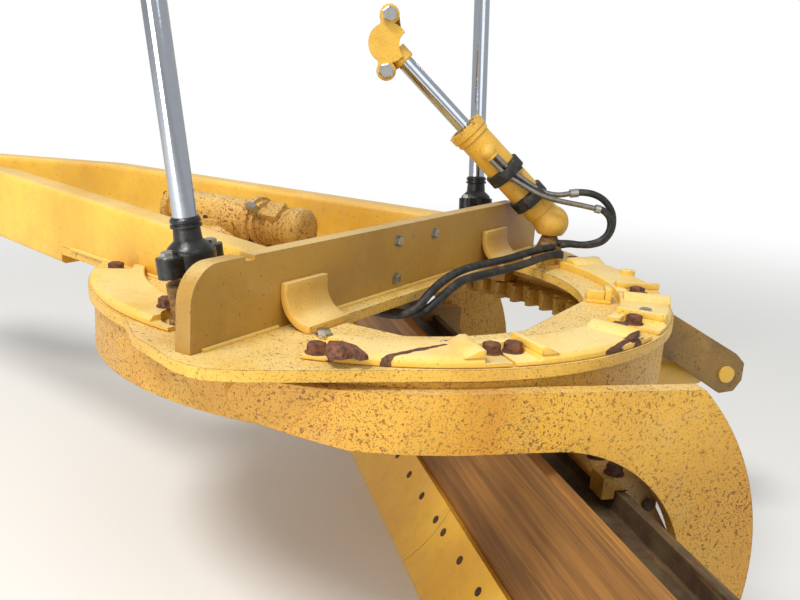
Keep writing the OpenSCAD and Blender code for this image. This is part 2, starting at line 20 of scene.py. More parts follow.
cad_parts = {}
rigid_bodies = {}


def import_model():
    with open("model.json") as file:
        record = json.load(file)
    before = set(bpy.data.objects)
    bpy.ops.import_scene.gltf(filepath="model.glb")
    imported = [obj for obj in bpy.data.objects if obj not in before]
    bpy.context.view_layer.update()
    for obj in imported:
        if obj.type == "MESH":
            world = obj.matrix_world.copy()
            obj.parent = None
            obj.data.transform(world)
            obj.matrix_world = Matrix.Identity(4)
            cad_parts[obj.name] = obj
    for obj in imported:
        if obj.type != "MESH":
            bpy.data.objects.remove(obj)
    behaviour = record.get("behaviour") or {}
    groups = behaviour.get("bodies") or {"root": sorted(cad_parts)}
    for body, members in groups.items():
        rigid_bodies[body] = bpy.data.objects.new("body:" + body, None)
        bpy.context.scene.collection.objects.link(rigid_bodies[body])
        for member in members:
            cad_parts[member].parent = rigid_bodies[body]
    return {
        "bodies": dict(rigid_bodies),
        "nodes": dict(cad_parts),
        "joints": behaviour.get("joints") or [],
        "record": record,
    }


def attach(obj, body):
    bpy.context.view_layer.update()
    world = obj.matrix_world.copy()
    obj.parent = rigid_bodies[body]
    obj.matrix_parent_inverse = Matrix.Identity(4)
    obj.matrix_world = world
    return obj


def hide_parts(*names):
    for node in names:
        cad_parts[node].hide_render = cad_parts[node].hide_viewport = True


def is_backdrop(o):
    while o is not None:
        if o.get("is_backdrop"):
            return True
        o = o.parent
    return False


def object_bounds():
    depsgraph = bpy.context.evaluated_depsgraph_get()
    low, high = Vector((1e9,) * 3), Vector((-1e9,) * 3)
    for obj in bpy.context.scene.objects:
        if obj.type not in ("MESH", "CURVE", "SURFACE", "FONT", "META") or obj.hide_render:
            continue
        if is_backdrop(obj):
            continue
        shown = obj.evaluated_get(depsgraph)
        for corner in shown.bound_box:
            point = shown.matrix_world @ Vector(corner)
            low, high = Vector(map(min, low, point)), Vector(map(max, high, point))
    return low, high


LOG = logging.getLogger("blade_group")

CIRCLE_BACK = 2.450
BALL_RISE = 0.060
CIRCLE_TURN = math.radians(45.0)
MERGE = 1e-5

Colour = tuple[float, float, float]
Shade = tuple[int, int, int]
Point = tuple[float, float, float]
Route = tuple[Point, ...]
Outline = list[tuple[float, float]]

YOKE = Matrix.Translation((-CIRCLE_BACK, 0.0, -BALL_RISE))
TURNED = YOKE @ Matrix.Rotation(CIRCLE_TURN, 4, "Z")
SIDEWAYS = Matrix(((1, 0, 0, 0), (0, 0, 1, 0), (0, 1, 0, 0), (0, 0, 0, 1)))
ENDWAYS = Matrix(((0, 0, 1, 0), (1, 0, 0, 0), (0, 1, 0, 0), (0, 0, 0, 1)))
MIRROR = Matrix.Diagonal((1.0, -1.0, 1.0, 1.0))
SIDES = (("left", Matrix.Identity(4)), ("right", MIRROR))
UP: Point = (0.0, 0.0, 1.0)


def aimed(way: Point) -> Matrix:
    """The turn that points the local z along a direction."""
    v = Vector(way)
    return Matrix.Rotation(math.atan2(v.y, v.x), 4, "Z") @ Matrix.Rotation(math.acos(v.z / v.length), 4, "Y")


def turned_z(degrees: float) -> Matrix:
    """A turn about the local z."""
    return Matrix.Rotation(math.radians(degrees), 4, "Z")


def moved_by(x: float, y: float, z: float) -> Matrix:
    """A shift."""
    return Matrix.Translation((x, y, z))


def polar(radius: float, degrees: float) -> tuple[float, float]:
    """The point at a radius and an angle."""
    a = math.radians(degrees)
    return radius * math.cos(a), radius * math.sin(a)


def arc(centre: tuple[float, float], radius: float, start: float, stop: float, steps: int) -> Outline:
    """Points along an arc, both ends included.

    Args:
        centre: The arc's middle.
        radius: Its radius.
        start: The angle of its first point, in degrees.
        stop: The angle of its last point.
        steps: How many parts it is divided into.

    Returns:
        The points.
    """
    points = []
    for k in range(steps + 1):
        x, y = polar(radius, start + (stop - start) * k / steps)
        points.append((centre[0] + x, centre[1] + y))
    return points


def linear(red: int, green: int, blue: int) -> tuple[float, float, float, float]:
    """Turns a screen colour into the linear colour that a shader takes.

    Args:
        red: The red part, from 0 to 255.
        green: The green part.
        blue: The blue part.

    Returns:
        The linear colour, with full cover.
    """
    parts = []
    for value in (red, green, blue):
        share = value / 255.0
        parts.append(share / 12.92 if share <= 0.04045 else ((share + 0.055) / 1.055) ** 2.4)
    return parts[0], parts[1], parts[2], 1.0


def added(name: str, data: bpy.types.ID) -> bpy.types.Object:
    """Makes an object and links it to the scene.

    Args:
        name: The object's name.
        data: Its mesh, lamp or camera.

    Returns:
        The new object.
    """
    thing = bpy.data.objects.new(name, data)
    bpy.context.scene.collection.objects.link(thing)
    return thing


def plug(tree: bpy.types.NodeTree, socket: bpy.types.NodeSocket, value: object) -> None:
    """Links a socket to an output, or sets its value.

    Args:
        tree: The node tree.
        socket: The input.
        value: The output socket or the value that it gets.
    """
    if isinstance(value, bpy.types.NodeSocket):
        tree.links.new(value, socket)
    else:
        socket.default_value = value


class Graph:
    """A short way to build a shader's nodes."""

    def __init__(self, name: str) -> None:
        """Starts a material with an empty node tree.

        Args:
            name: The material's name.
        """
        self.material = bpy.data.materials.new(name)
        self.material.use_nodes = True
        self.tree = self.material.node_tree
        self.tree.nodes.clear()
        self.coords = self.add("ShaderNodeTexCoord").outputs["Object"]
        self.facing = self.coords.node.outputs["Normal"]

    def add(self, kind: str, **settings: object) -> bpy.types.Node:
        """Adds a node.

        Args:
            kind: The node's type.
            **settings: The node's own properties.

        Returns:
            The new node.
        """
        node = self.tree.nodes.new(kind)
        for key, value in settings.items():
            setattr(node, key, value)
        return node

    def put(self, socket: bpy.types.NodeSocket, value: object) -> None:
        """Links an input to an output, or sets its value."""
        plug(self.tree, socket, value)

    def maths(self, operation: str, a: object, b: object = 0.0, c: object = 0.0) -> bpy.types.NodeSocket:
        """Adds a maths node.

        Args:
            operation: What it works out.
            a: Its first value, or the socket that gives it.
            b: The second, or its socket.
            c: The third, or its socket.

        Returns:
            The result's socket.
        """
        node = self.add("ShaderNodeMath", operation=operation)
        for socket, value in zip(node.inputs, (a, b, c)):
            self.put(socket, value)
        return node.outputs[0]

    def ramp(self, value: object, low: float, high: float) -> bpy.types.NodeSocket:
        """Adds a smooth step.

        Args:
            value: The socket that drives it.
            low: The value that gives 0.
            high: The value that gives 1.

        Returns:
            The step's socket.
        """
        node = self.add("ShaderNodeMapRange", interpolation_type="SMOOTHSTEP")
        self.put(node.inputs["Value"], value)
        node.inputs["From Min"].default_value = low
        node.inputs["From Max"].default_value = high
        return node.outputs["Result"]

    def noise(self, scale: float, detail: float = 3.0, rough: float = 0.55,
              where: object = None, warp: float = 0.0) -> bpy.types.NodeSocket:
        """Adds a noise between 0 and 1.

        Args:
            scale: How many grains there are to the metre.
            detail: How many finer layers it has.
            rough: How strong the finer layers are.
            where: The coordinates, if not the piece's own.
            warp: How far the noise bends itself.

        Returns:
            The noise's socket.
        """
        node = self.add("ShaderNodeTexNoise")
        self.put(node.inputs["Vector"], where if where is not None else self.coords)
        node.inputs["Scale"].default_value = scale
        node.inputs["Detail"].default_value = detail
        node.inputs["Roughness"].default_value = rough
        node.inputs["Distortion"].default_value = warp
        return node.outputs[0]

    def mix(self, share: object, a: object, b: object) -> bpy.types.NodeSocket:
        """Blends two colours.

        Args:
            share: How much of the second colour shows.
            a: The first colour.
            b: The second colour.

        Returns:
            The blend's socket.
        """
        node = self.add("ShaderNodeMix", data_type="RGBA")
        self.put(node.inputs["Factor"], share)
        self.put(node.inputs[6], a)
        self.put(node.inputs[7], b)
        return node.outputs[2]

    def over(self, colour: object, mask: object, share: float, shade: Shade) -> bpy.types.NodeSocket:
        """Lays a shade over a colour.

        Args:
            colour: The colour below.
            mask: Where the shade lies, from 0 to 1.
            share: How well it covers there.
            shade: The shade's screen colour.

        Returns:
            The new colour's socket.
        """
        return self.mix(self.maths("MULTIPLY", mask, share), colour, linear(*shade))

    def moved(self, turn: Point = (0, 0, 0), scale: Point = (1, 1, 1)) -> bpy.types.NodeSocket:
        """Turns and then stretches the piece's coordinates.

        Args:
            turn: The turn about each axis, in radians.
            scale: The stretch along each axis.

        Returns:
            The coordinates' socket.
        """
        turned = self.add("ShaderNodeMapping")
        self.put(turned.inputs["Vector"], self.coords)
        turned.inputs["Rotation"].default_value = turn
        stretched = self.add("ShaderNodeMapping")
        self.put(stretched.inputs["Vector"], turned.outputs[0])
        stretched.inputs["Scale"].default_value = scale
        return stretched.outputs[0]

    def spot(self, scar: "Scar") -> bpy.types.NodeSocket:
        """Marks a long, ragged spot.

        Args:
            scar: The spot.

        Returns:
            The socket of a value that is 1 inside the spot and 0 outside.
        """
        local = self.add("ShaderNodeMapping", vector_type="TEXTURE")
        self.put(local.inputs["Vector"], self.coords)
        local.inputs["Location"].default_value = (scar.x - CIRCLE_BACK, scar.y, 0.0)
        local.inputs["Rotation"].default_value = (0.0, 0.0, math.radians(scar.angle))
        local.inputs["Scale"].default_value = (scar.half_length, scar.half_width, 9.0)
        far = self.add("ShaderNodeVectorMath", operation="LENGTH")
        self.put(far.inputs[0], local.outputs[0])
        ragged = self.maths("MULTIPLY_ADD", self.noise(26.0, 4.0, 0.6), 1.7, far.outputs["Value"])
        return self.maths("SUBTRACT", 1.0, self.ramp(ragged, 1.66, 1.80))

    def edges(self, radius: float) -> bpy.types.NodeSocket:
        """Marks the sharp edges.

        Args:
            radius: How far from an edge the mark reaches.

        Returns:
            The socket of a value that grows from 0 towards the edge.
        """
        bevel = self.add("ShaderNodeBevel", samples=4)
        bevel.inputs["Radius"].default_value = radius
        face = self.add("ShaderNodeNewGeometry")
        dot = self.add("ShaderNodeVectorMath", operation="DOT_PRODUCT")
        self.put(dot.inputs[0], bevel.outputs[0])
        self.put(dot.inputs[1], face.outputs["Normal"])
        return self.maths("SUBTRACT", 1.0, dot.outputs["Value"])

    def finish(self, colour: object, rough: object, metal: float, height: object,
               depth: float, soft_edge: float = 0.0, **extra: float) -> bpy.types.Material:
        """Closes the material.

        Args:
            colour: The base colour, or the socket that gives it.
            rough: The roughness, or its socket.
            metal: How metallic the surface is.
            height: The socket that drives the bump.
            depth: The bump's depth in metres.
            soft_edge: The radius to which shading rounds sharp edges.
            **extra: Further values of the shader, by their socket's name.

        Returns:
            The finished material.
        """
        shader = self.add("ShaderNodeBsdfPrincipled")
        self.put(shader.inputs["Base Color"], colour)
        self.put(shader.inputs["Roughness"], rough)
        self.put(shader.inputs["Metallic"], metal)
        for key, value in extra.items():
            shader.inputs[key.replace("_", " ")].default_value = value
        bump = self.add("ShaderNodeBump")
        bump.inputs["Distance"].default_value = depth
        self.put(bump.inputs["Height"], height)
        if soft_edge > 0:
            rounded = self.add("ShaderNodeBevel", samples=4)
            rounded.inputs["Radius"].default_value = soft_edge
            self.put(bump.inputs["Normal"], rounded.outputs[0])
        self.put(shader.inputs["Normal"], bump.outputs[0])
        out = self.add("ShaderNodeOutputMaterial")
        self.put(out.inputs["Surface"], shader.outputs[0])
        return self.material


@dataclass(frozen=True)
class Scar:
    """A long spot on the rim covers where the paint has gone, placed on the yoke."""

    x: float
    y: float
    angle: float
    half_length: float
    half_width: float


SCARS = (
    Scar(-0.428, 0.600, 73.1, 0.130, 0.009),
    Scar(-0.468, 0.402, 73.0, 0.090, 0.014),
    Scar(-0.736, 0.240, 81.5, 0.140, 0.005),
    Scar(-0.567, 0.284, 30.0, 0.024, 0.008),
    Scar(-0.752, 0.150, 60.0, 0.030, 0.010),
    Scar(-0.340, 0.715, 20.0, 0.050, 0.016),
)


@dataclass(frozen=True)
class WornPaint:
    """Yellow machine paint that the weather has speckled with rust.

    Attributes:
        name: The material's name.
        bright: The paint where it is clean.
        dull: The paint where it is dirty and faded.
        speckle: Share of the surface that rust dots cover.
        tint: How strongly orange rust water stains the paint.
        glare_and_bleach: How pale the paint goes where it faces up, as painted sun glare and some fading.
        wear: How wide the bare, rusty edges are.
        scars: Long spots that are bare steel.
    """

    name: str
    bright: Shade = (236, 190, 74)
    dull: Shade = (216, 166, 56)
    speckle: float = 0.10
    tint: float = 0.15
    glare_and_bleach: float = 0.35
    wear: float = 0.4
    scars: tuple[Scar, ...] = ()

    def make(self) -> bpy.types.Material:
        """Builds the material.

        Returns:
            The material.
        """
        g = Graph(self.name)
        broad = g.noise(2.2, 4.0)
        fine = g.noise(23.0, 5.0, 0.6)
        colour = g.mix(g.ramp(broad, 0.35, 0.68), linear(*self.bright), linear(*self.dull))
        colour = g.over(colour, g.ramp(fine, 0.45, 0.75), 0.20, (176, 128, 54))
        # Painted highlight: faces that point up get pale cream as painted sun glare, together with some
        # fading of the paint.
        up = g.add("ShaderNodeSeparateXYZ")
        g.put(up.inputs[0], g.facing)
        glare_mask = g.maths("MULTIPLY", g.ramp(up.outputs[2], 0.55, 0.95), g.ramp(g.noise(6.0, 3.0), 0.22, 0.55))
        colour = g.over(colour, glare_mask, self.glare_and_bleach, (240, 216, 150))
        stain = g.ramp(g.noise(4.5, 5.0, 0.6, g.moved(scale=(1.0, 1.0, 0.30))), 0.50, 0.74)
        colour = g.over(colour, stain, self.tint, (186, 108, 36))
        dust = g.ramp(g.noise(9.0, 5.0, 0.65), 0.52, 0.72)
        colour = g.over(colour, dust, 0.22, (196, 168, 112))
        patch = g.ramp(g.noise(3.1, 3.0), 0.30, 0.70)
        small = g.noise(260.0, 2.0, 0.5)
        middle = g.noise(120.0, 3.0, 0.55)
        limit = 0.74 - 0.5 * self.speckle
        dots = g.maths("ADD", g.maths("MULTIPLY", g.ramp(small, limit - 0.03, limit + 0.01), 0.75),
                       g.ramp(middle, limit - 0.005, limit + 0.025))
        thick = g.maths("MULTIPLY_ADD", patch, 0.55, 0.45)
        dots = g.maths("MINIMUM", g.maths("MULTIPLY", dots, thick), 1.0)
        colour = g.over(colour, dots, 0.85, (98, 62, 32))
        near = g.maths("MULTIPLY_ADD", g.noise(55.0, 4.0), 0.9, g.edges(0.005))
        bare = g.ramp(near, 1.02 - 0.35 * self.wear, 1.10 - 0.35 * self.wear)
        for scar in self.scars:
            bare = g.maths("MAXIMUM", bare, g.spot(scar))
        rust = g.mix(g.ramp(g.noise(120.0, 4.0), 0.35, 0.65), linear(112, 66, 40), linear(62, 44, 36))
        colour = g.mix(bare, colour, rust)
        bare = g.maths("MAXIMUM", bare, dots)
        rough = g.maths("MULTIPLY_ADD", bare, 0.35, 0.44)
        grain = g.maths("MULTIPLY", g.noise(160.0, 3.0), 0.35)
        height = g.maths("SUBTRACT", grain, g.maths("MULTIPLY", bare, 0.6))
        return g.finish(colour, rough, 0.0, height, 0.0012, 0.003, Coat_Weight=0.10, Coat_Roughness=0.3)


@dataclass(frozen=True)
class BareRust:
    """Steel that has rusted all over, such as a bolt's head."""

    name: str
    pale: Shade = (128, 78, 52)
    dark: Shade = (62, 42, 34)

    def make(self) -> bpy.types.Material:
        """Builds the material.

        Returns:
            The material.
        """
        g = Graph(self.name)
        mottle = g.noise(95.0, 5.0, 0.65)
        colour = g.mix(g.ramp(mottle, 0.35, 0.68), linear(*self.pale), linear(*self.dark))
        colour = g.over(colour, g.ramp(g.noise(40.0, 3.0), 0.6, 0.75), 0.5, (150, 98, 58))
        return g.finish(colour, 0.78, 0.0, mottle, 0.0020, 0.002)


@dataclass(frozen=True)
class ScouredSteel:
    """A moldboard's face, scoured by gravel along the blade and thinly rusted again."""

    name: str

    def make(self) -> bpy.types.Material:
        """Builds the material.

        Returns:
            The material.
        """
        g = Graph(self.name)
        turned = (0.0, 0.0, -CIRCLE_TURN)
        streaks = g.noise(1.0, 6.0, 0.65, g.moved(turned, (190.0, 3.0, 190.0)), 0.3)
        bands = g.noise(1.0, 4.0, 0.6, g.moved(turned, (26.0, 1.2, 26.0)))
        clouds = g.noise(5.0, 4.0)
        colour = g.mix(g.ramp(bands, 0.34, 0.66), linear(152, 104, 44), linear(110, 72, 30))
        colour = g.over(colour, g.ramp(clouds, 0.46, 0.7), 0.5, (126, 88, 40))
        colour = g.over(colour, g.ramp(streaks, 0.54, 0.72), 0.55, (176, 128, 62))
        colour = g.over(colour, g.ramp(streaks, 0.46, 0.28), 0.5, (88, 56, 28))
        rough = g.maths("MULTIPLY_ADD", bands, 0.25, 0.50)
        return g.finish(colour, rough, 0.05, streaks, 0.0006, 0.003)


@dataclass(frozen=True)
class RailRust:
    """The blade's rails, olive brown with tan streaks along them."""

    name: str

    def make(self) -> bpy.types.Material:
        """Builds the material.

        Returns:
            The material.
        """
        g = Graph(self.name)
        turned = (0.0, 0.0, -CIRCLE_TURN)
        streaks = g.noise(1.0, 5.0, 0.6, g.moved(turned, (60.0, 4.0, 60.0)))
        clouds = g.noise(14.0, 5.0, 0.6)
        colour = g.mix(g.ramp(clouds, 0.35, 0.65), linear(90, 76, 50), linear(70, 50, 36))
        colour = g.over(colour, g.ramp(streaks, 0.52, 0.70), 0.7, (128, 100, 62))
        colour = g.over(colour, g.ramp(g.noise(70.0, 3.0), 0.58, 0.70), 0.6, (84, 44, 30))
        return g.finish(colour, 0.68, 0.1, clouds, 0.0012, 0.003)


@dataclass(frozen=True)
class Metal:
    """Bare machined, plated or chromed metal."""

    name: str
    shade: Shade
    rough: float
    mottle: float = 0.1
    grain: float = 60.0

    def make(self) -> bpy.types.Material:
        """Builds the material.

        Returns:
            The material.
        """
        g = Graph(self.name)
        cloud = g.noise(self.grain, 4.0, 0.6)
        red, green, blue = (int(value * 0.55) for value in self.shade)
        colour = g.over(linear(*self.shade), g.ramp(cloud, 0.4, 0.75), self.mottle, (red, green, blue))
        rough = g.maths("MULTIPLY_ADD", cloud, 0.5 * self.rough, 0.6 * self.rough)
        return g.finish(colour, rough, 1.0, cloud, 0.0002)


@dataclass(frozen=True)
class Dull:
    """Black paint or rubber with dust on it."""

    name: str
    shade: Shade
    dust: Shade
    rough: float
    dusty: float = 0.35

    def make(self) -> bpy.types.Material:
        """Builds the material.

        Returns:
            The material.
        """
        g = Graph(self.name)
        cloud = g.noise(38.0, 5.0, 0.6)
        colour = g.over(linear(*self.shade), g.ramp(cloud, 0.42, 0.72), self.dusty, self.dust)
        rough = g.maths("MULTIPLY_ADD", cloud, 0.25, self.rough - 0.12)
        return g.finish(colour, rough, 0.0, g.noise(220.0, 3.0), 0.0006, 0.002)


@dataclass(frozen=True)
class PaleFloor:
    """A studio floor that fades to white far away and still holds a shadow near the group."""

    name: str
    shade: Shade
    middle: Point = (-2.4, 0.0, -0.8)
    near: float = 2.6
    far: float = 8.0

    def make(self) -> bpy.types.Material:
        """Builds the material.

        Returns:
            The material.
        """
        g = Graph(self.name)
        grain = g.noise(30.0, 2.0)
        colour = g.over(linear(*self.shade), grain, 0.05, (220, 220, 218))
        g.finish(colour, 0.9, 0.0, grain, 0.0001)
        out = next(node for node in g.tree.nodes if node.type == "OUTPUT_MATERIAL")
        surface = out.inputs["Surface"].links[0].from_socket
        centred = g.add("ShaderNodeVectorMath", operation="DISTANCE")
        g.put(centred.inputs[0], g.coords)
        centred.inputs[1].default_value = self.middle
        away = g.ramp(centred.outputs["Value"], self.near, self.far)
        seen = g.add("ShaderNodeLightPath").outputs["Is Camera Ray"]
        white = g.add("ShaderNodeEmission")
        blend = g.add("ShaderNodeMixShader")
        g.put(blend.inputs[0], g.maths("MULTIPLY", away, seen))
        g.put(blend.inputs[1], surface)
        g.put(blend.inputs[2], white.outputs[0])
        g.put(out.inputs["Surface"], blend.outputs[0])
        return g.material


class Finish(Enum):
    """Every finish of the object."""

    # The sixth value of each paint is how much painted sun glare, with some fading, its up-facing faces get.
    PAINT = WornPaint("paint_weathered")
    PAINT_DUSTY = WornPaint("paint_dusty", (216, 170, 76), (188, 146, 66), 0.12, 0.15, 0.55, 0.5)
    # Painted shade: a darker copy of the paint, for the cross plate whose rear face lies in shade.
    PAINT_PAINTED_SHADE = WornPaint("paint_painted_shade", (186, 144, 60), (158, 120, 50), 0.12, 0.15, 0.35, 0.4)
    PAINT_RING = WornPaint("paint_ring", (224, 174, 66), (204, 154, 54), 0.28, 0.34, 0.35, 0.7)
    PAINT_ARM = WornPaint("paint_arm", (226, 174, 64), (208, 154, 52), 0.28, 0.35, 0.45, 0.45)
    PAINT_PLATE = WornPaint("paint_plate", (234, 188, 80), (218, 170, 64), 0.22, 0.2, 0.6, 0.95)
    PAINT_COVER = WornPaint("paint_cover", (238, 196, 84), (224, 178, 70), 0.12, 0.12, 0.75, 0.5, SCARS)
    PAINT_FRESH = WornPaint("paint_fresh", (240, 188, 44), (230, 170, 36), 0.05, 0.1, 0.15, 0.4)
    PAINT_GREASY = WornPaint("paint_greasy", (180, 138, 52), (108, 82, 42), 0.22, 0.3, 0.2, 0.8)
    PAINT_MOTOR = WornPaint("paint_motor", (220, 174, 84), (200, 152, 70), 0.30, 0.3, 0.3, 0.6)
    RUST = BareRust("rust_brown")
    RUST_DARK = BareRust("rust_dark", (92, 58, 42), (46, 34, 28))
    STUD = BareRust("stud_dirty", (150, 112, 56), (84, 60, 38))
    BLADE = ScouredSteel("blade_scoured")
    RAIL = RailRust("rail_rusty")
    CHROME = Metal("chrome_rod", (196, 202, 212), 0.12, 0.08)
    STEEL = Metal("steel_plated", (186, 186, 182), 0.35, 0.5)
    STEEL_BRIGHT = Metal("steel_bright", (214, 214, 210), 0.30, 0.35)
    WORN_STEEL = Metal("steel_worn", (146, 142, 136), 0.45, 0.5)
    BRONZE = Metal("bronze_worn", (170, 132, 74), 0.4, 0.4)
    BLACK = Dull("paint_black", (22, 23, 26), (90, 86, 78), 0.30, 0.25)
    RUBBER = Dull("rubber_black", (24, 25, 26), (104, 98, 88), 0.55, 0.35)


FINISHED: dict[Finish, bpy.types.Material] = {}


def material(finish: Finish) -> bpy.types.Material:
    """Makes the material of a finish the first time that it is asked for.

    Args:
        finish: The finish.

    Returns:
        Its material.
    """
    if finish not in FINISHED:
        FINISHED[finish] = finish.value.make()
    return FINISHED[finish]


@dataclass(frozen=True)
class Label:
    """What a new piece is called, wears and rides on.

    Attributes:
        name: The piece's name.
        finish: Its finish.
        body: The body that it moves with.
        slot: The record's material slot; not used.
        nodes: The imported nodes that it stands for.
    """

    name: str
    finish: Finish
    body: str
    slot: str
    nodes: tuple[str, ...] = ()


def on_drawbar(name: str, finish: Finish, *nodes: str) -> Label:
    """The label of a painted piece that rides on the drawbar."""
    return Label(name, finish, "drawbar", "yellow_paint", nodes)


def settle(piece: bpy.types.Object) -> None:
    """Makes what the modifiers give the piece's own mesh, and removes them.

    Args:
        piece: The object.
    """
    graph = bpy.context.evaluated_depsgraph_get()
    mesh = bpy.data.meshes.new_from_object(piece.evaluated_get(graph))
    old = piece.data
    piece.modifiers.clear()
    piece.data = mesh
    bpy.data.meshes.remove(old)


def hand_over(piece: bpy.types.Object, label: Label, smooth: float = 32.0) -> None:
    """Dresses a finished mesh and ties it to its body.

    Args:
        piece: The object, with its place in its mesh.
        label: Its name, finish, body, slot and nodes.
        smooth: The angle in degrees under which faces shade as one.
    """
    mesh = piece.data
    mesh.materials.clear()
    mesh.materials.append(material(label.finish))
    for face in mesh.polygons:
        face.material_index = 0
    mesh.shade_smooth()
    mesh.set_sharp_from_angle(angle=math.radians(smooth))
    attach(piece, label.body)
    if label.nodes:
        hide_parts(*label.nodes)
    LOG.info("%s rides on %s, %d faces", piece.name, label.body, len(mesh.polygons))


class Shape:
    """Closed solids gathered into one mesh."""

    def __init__(self) -> None:
        """Starts with nothing."""
        self.points: list[Vector] = []
        self.faces: list[tuple[int, ...]] = []

    def loft(self, sections: list[list[Vector]]) -> "Shape":
        """Closed sections of as many points each, joined in turn and capped.

        Args:
            sections: The sections' points in the row frame.

        Returns:
            The shape itself.
        """
        base = len(self.points)
        count = len(sections[0])
        for section in sections:
            self.points += section
        for k in range(len(sections) - 1):
            low = base + k * count
            for j in range(count):
                n = (j + 1) % count
                self.faces.append((low + j, low + n, low + count + n, low + count + j))
        self.faces.append(tuple(base + j for j in reversed(range(count))))
        last = base + (len(sections) - 1) * count
        self.faces.append(tuple(last + j for j in range(count)))
        return self

    def prism(self, outline: Outline, start: float, stop: float, place: Matrix) -> "Shape":
        """An outline run along the local z from start to stop."""
        return self.loft([[place @ Vector((a, b, level)) for a, b in outline] for level in (start, stop)])

    def block(self, low: Point, high: Point, place: Matrix) -> "Shape":
        """A box between two corners."""
        outline = [(low[0], low[1]), (high[0], low[1]), (high[0], high[1]), (low[0], high[1])]
        return self.prism(outline, low[2], high[2], place)

    def lathe(self, profile: Outline, place: Matrix, steps: int = 72) -> "Shape":
        """A profile turned about the local z, with its ends on the axis or closed on itself.

        Args:
            profile: Radius and height of each point.
            place: Where the axis stands.
            steps: Facets round the axis.

        Returns:
            The shape itself.
        """
        rings = []
        for radius, height in profile:
            ring = []
            for k in range(1 if radius < 1e-6 else steps):
                a = 2.0 * math.pi * k / steps
                ring.append(len(self.points))
                self.points.append(place @ Vector((radius * math.cos(a), radius * math.sin(a), height)))
            rings.append(ring)
        for one, two in zip(rings, rings[1:]):
            for k in range(steps):
                a, b = one[k % len(one)], one[(k + 1) % len(one)]
                c, d = two[(k + 1) % len(two)], two[k % len(two)]
                corners = tuple(dict.fromkeys((a, b, c, d)))
                if len(corners) > 2:
                    self.faces.append(corners)
        return self

    def ball(self, radius: float, place: Matrix) -> "Shape":
        """A ball about the local origin."""
        inside = arc((0.0, 0.0), radius, -82.5, 82.5, 22)
        return self.lathe([(0.0, -radius)] + inside + [(0.0, radius)], place)

    def rod(self, radius: float, start: float, stop: float, place: Matrix, steps: int = 48) -> "Shape":
        """A round bar along the local z."""
        return self.lathe([(0.0, start), (radius, start), (radius, stop), (0.0, stop)], place, steps)

    def solid(self, name: str) -> bpy.types.Object:
        """Makes a plain object of the shape, with its faces outwards.

        Args:
            name: The object's name.

        Returns:
            The new object.
        """
        mesh = bpy.data.meshes.new(name)
        mesh.from_pydata(self.points, [], self.faces)
        work = bmesh.new()
        work.from_mesh(mesh)
        bmesh.ops.remove_doubles(work, verts=work.verts, dist=MERGE)
        bmesh.ops.dissolve_degenerate(work, edges=work.edges, dist=MERGE)
        bmesh.ops.recalc_face_normals(work, faces=work.faces)
        work.to_mesh(mesh)
        work.free()
        return added(name, mesh)

    def piece(self, label: Label, bevel: float = 0.0, cutters: tuple["Shape", ...] = ()) -> None:
        """Finishes the shape as a piece of the object.

        Args:
            label: Its name, finish, body, slot and nodes.
            bevel: The width of its broken edges.
            cutters: Shapes that are cut out of it.
        """
        piece = self.solid(label.name)
        carve(piece, cutters)
        if bevel > 0:
            edge = piece.modifiers.new("edges", "BEVEL")
            edge.width = bevel
            edge.segments = 2
            edge.limit_method = "ANGLE"
            edge.angle_limit = math.radians(40.0)
            settle(piece)
        hand_over(piece, label)


def carve(piece: bpy.types.Object, cutters: tuple[Shape, ...]) -> None:
    """Cuts shapes out of a solid, one after the other.

    Args:
        piece: The solid.
        cutters: The shapes.
    """
    for count, cutter in enumerate(cutters):
        tool = cutter.solid(f"{piece.name}_tool{count}")
        cut = piece.modifiers.new("cut", "BOOLEAN")
        cut.operation = "DIFFERENCE"
        cut.solver = "EXACT"
        cut.use_self = True
        cut.object = tool
        settle(piece)
        bpy.data.objects.remove(tool)


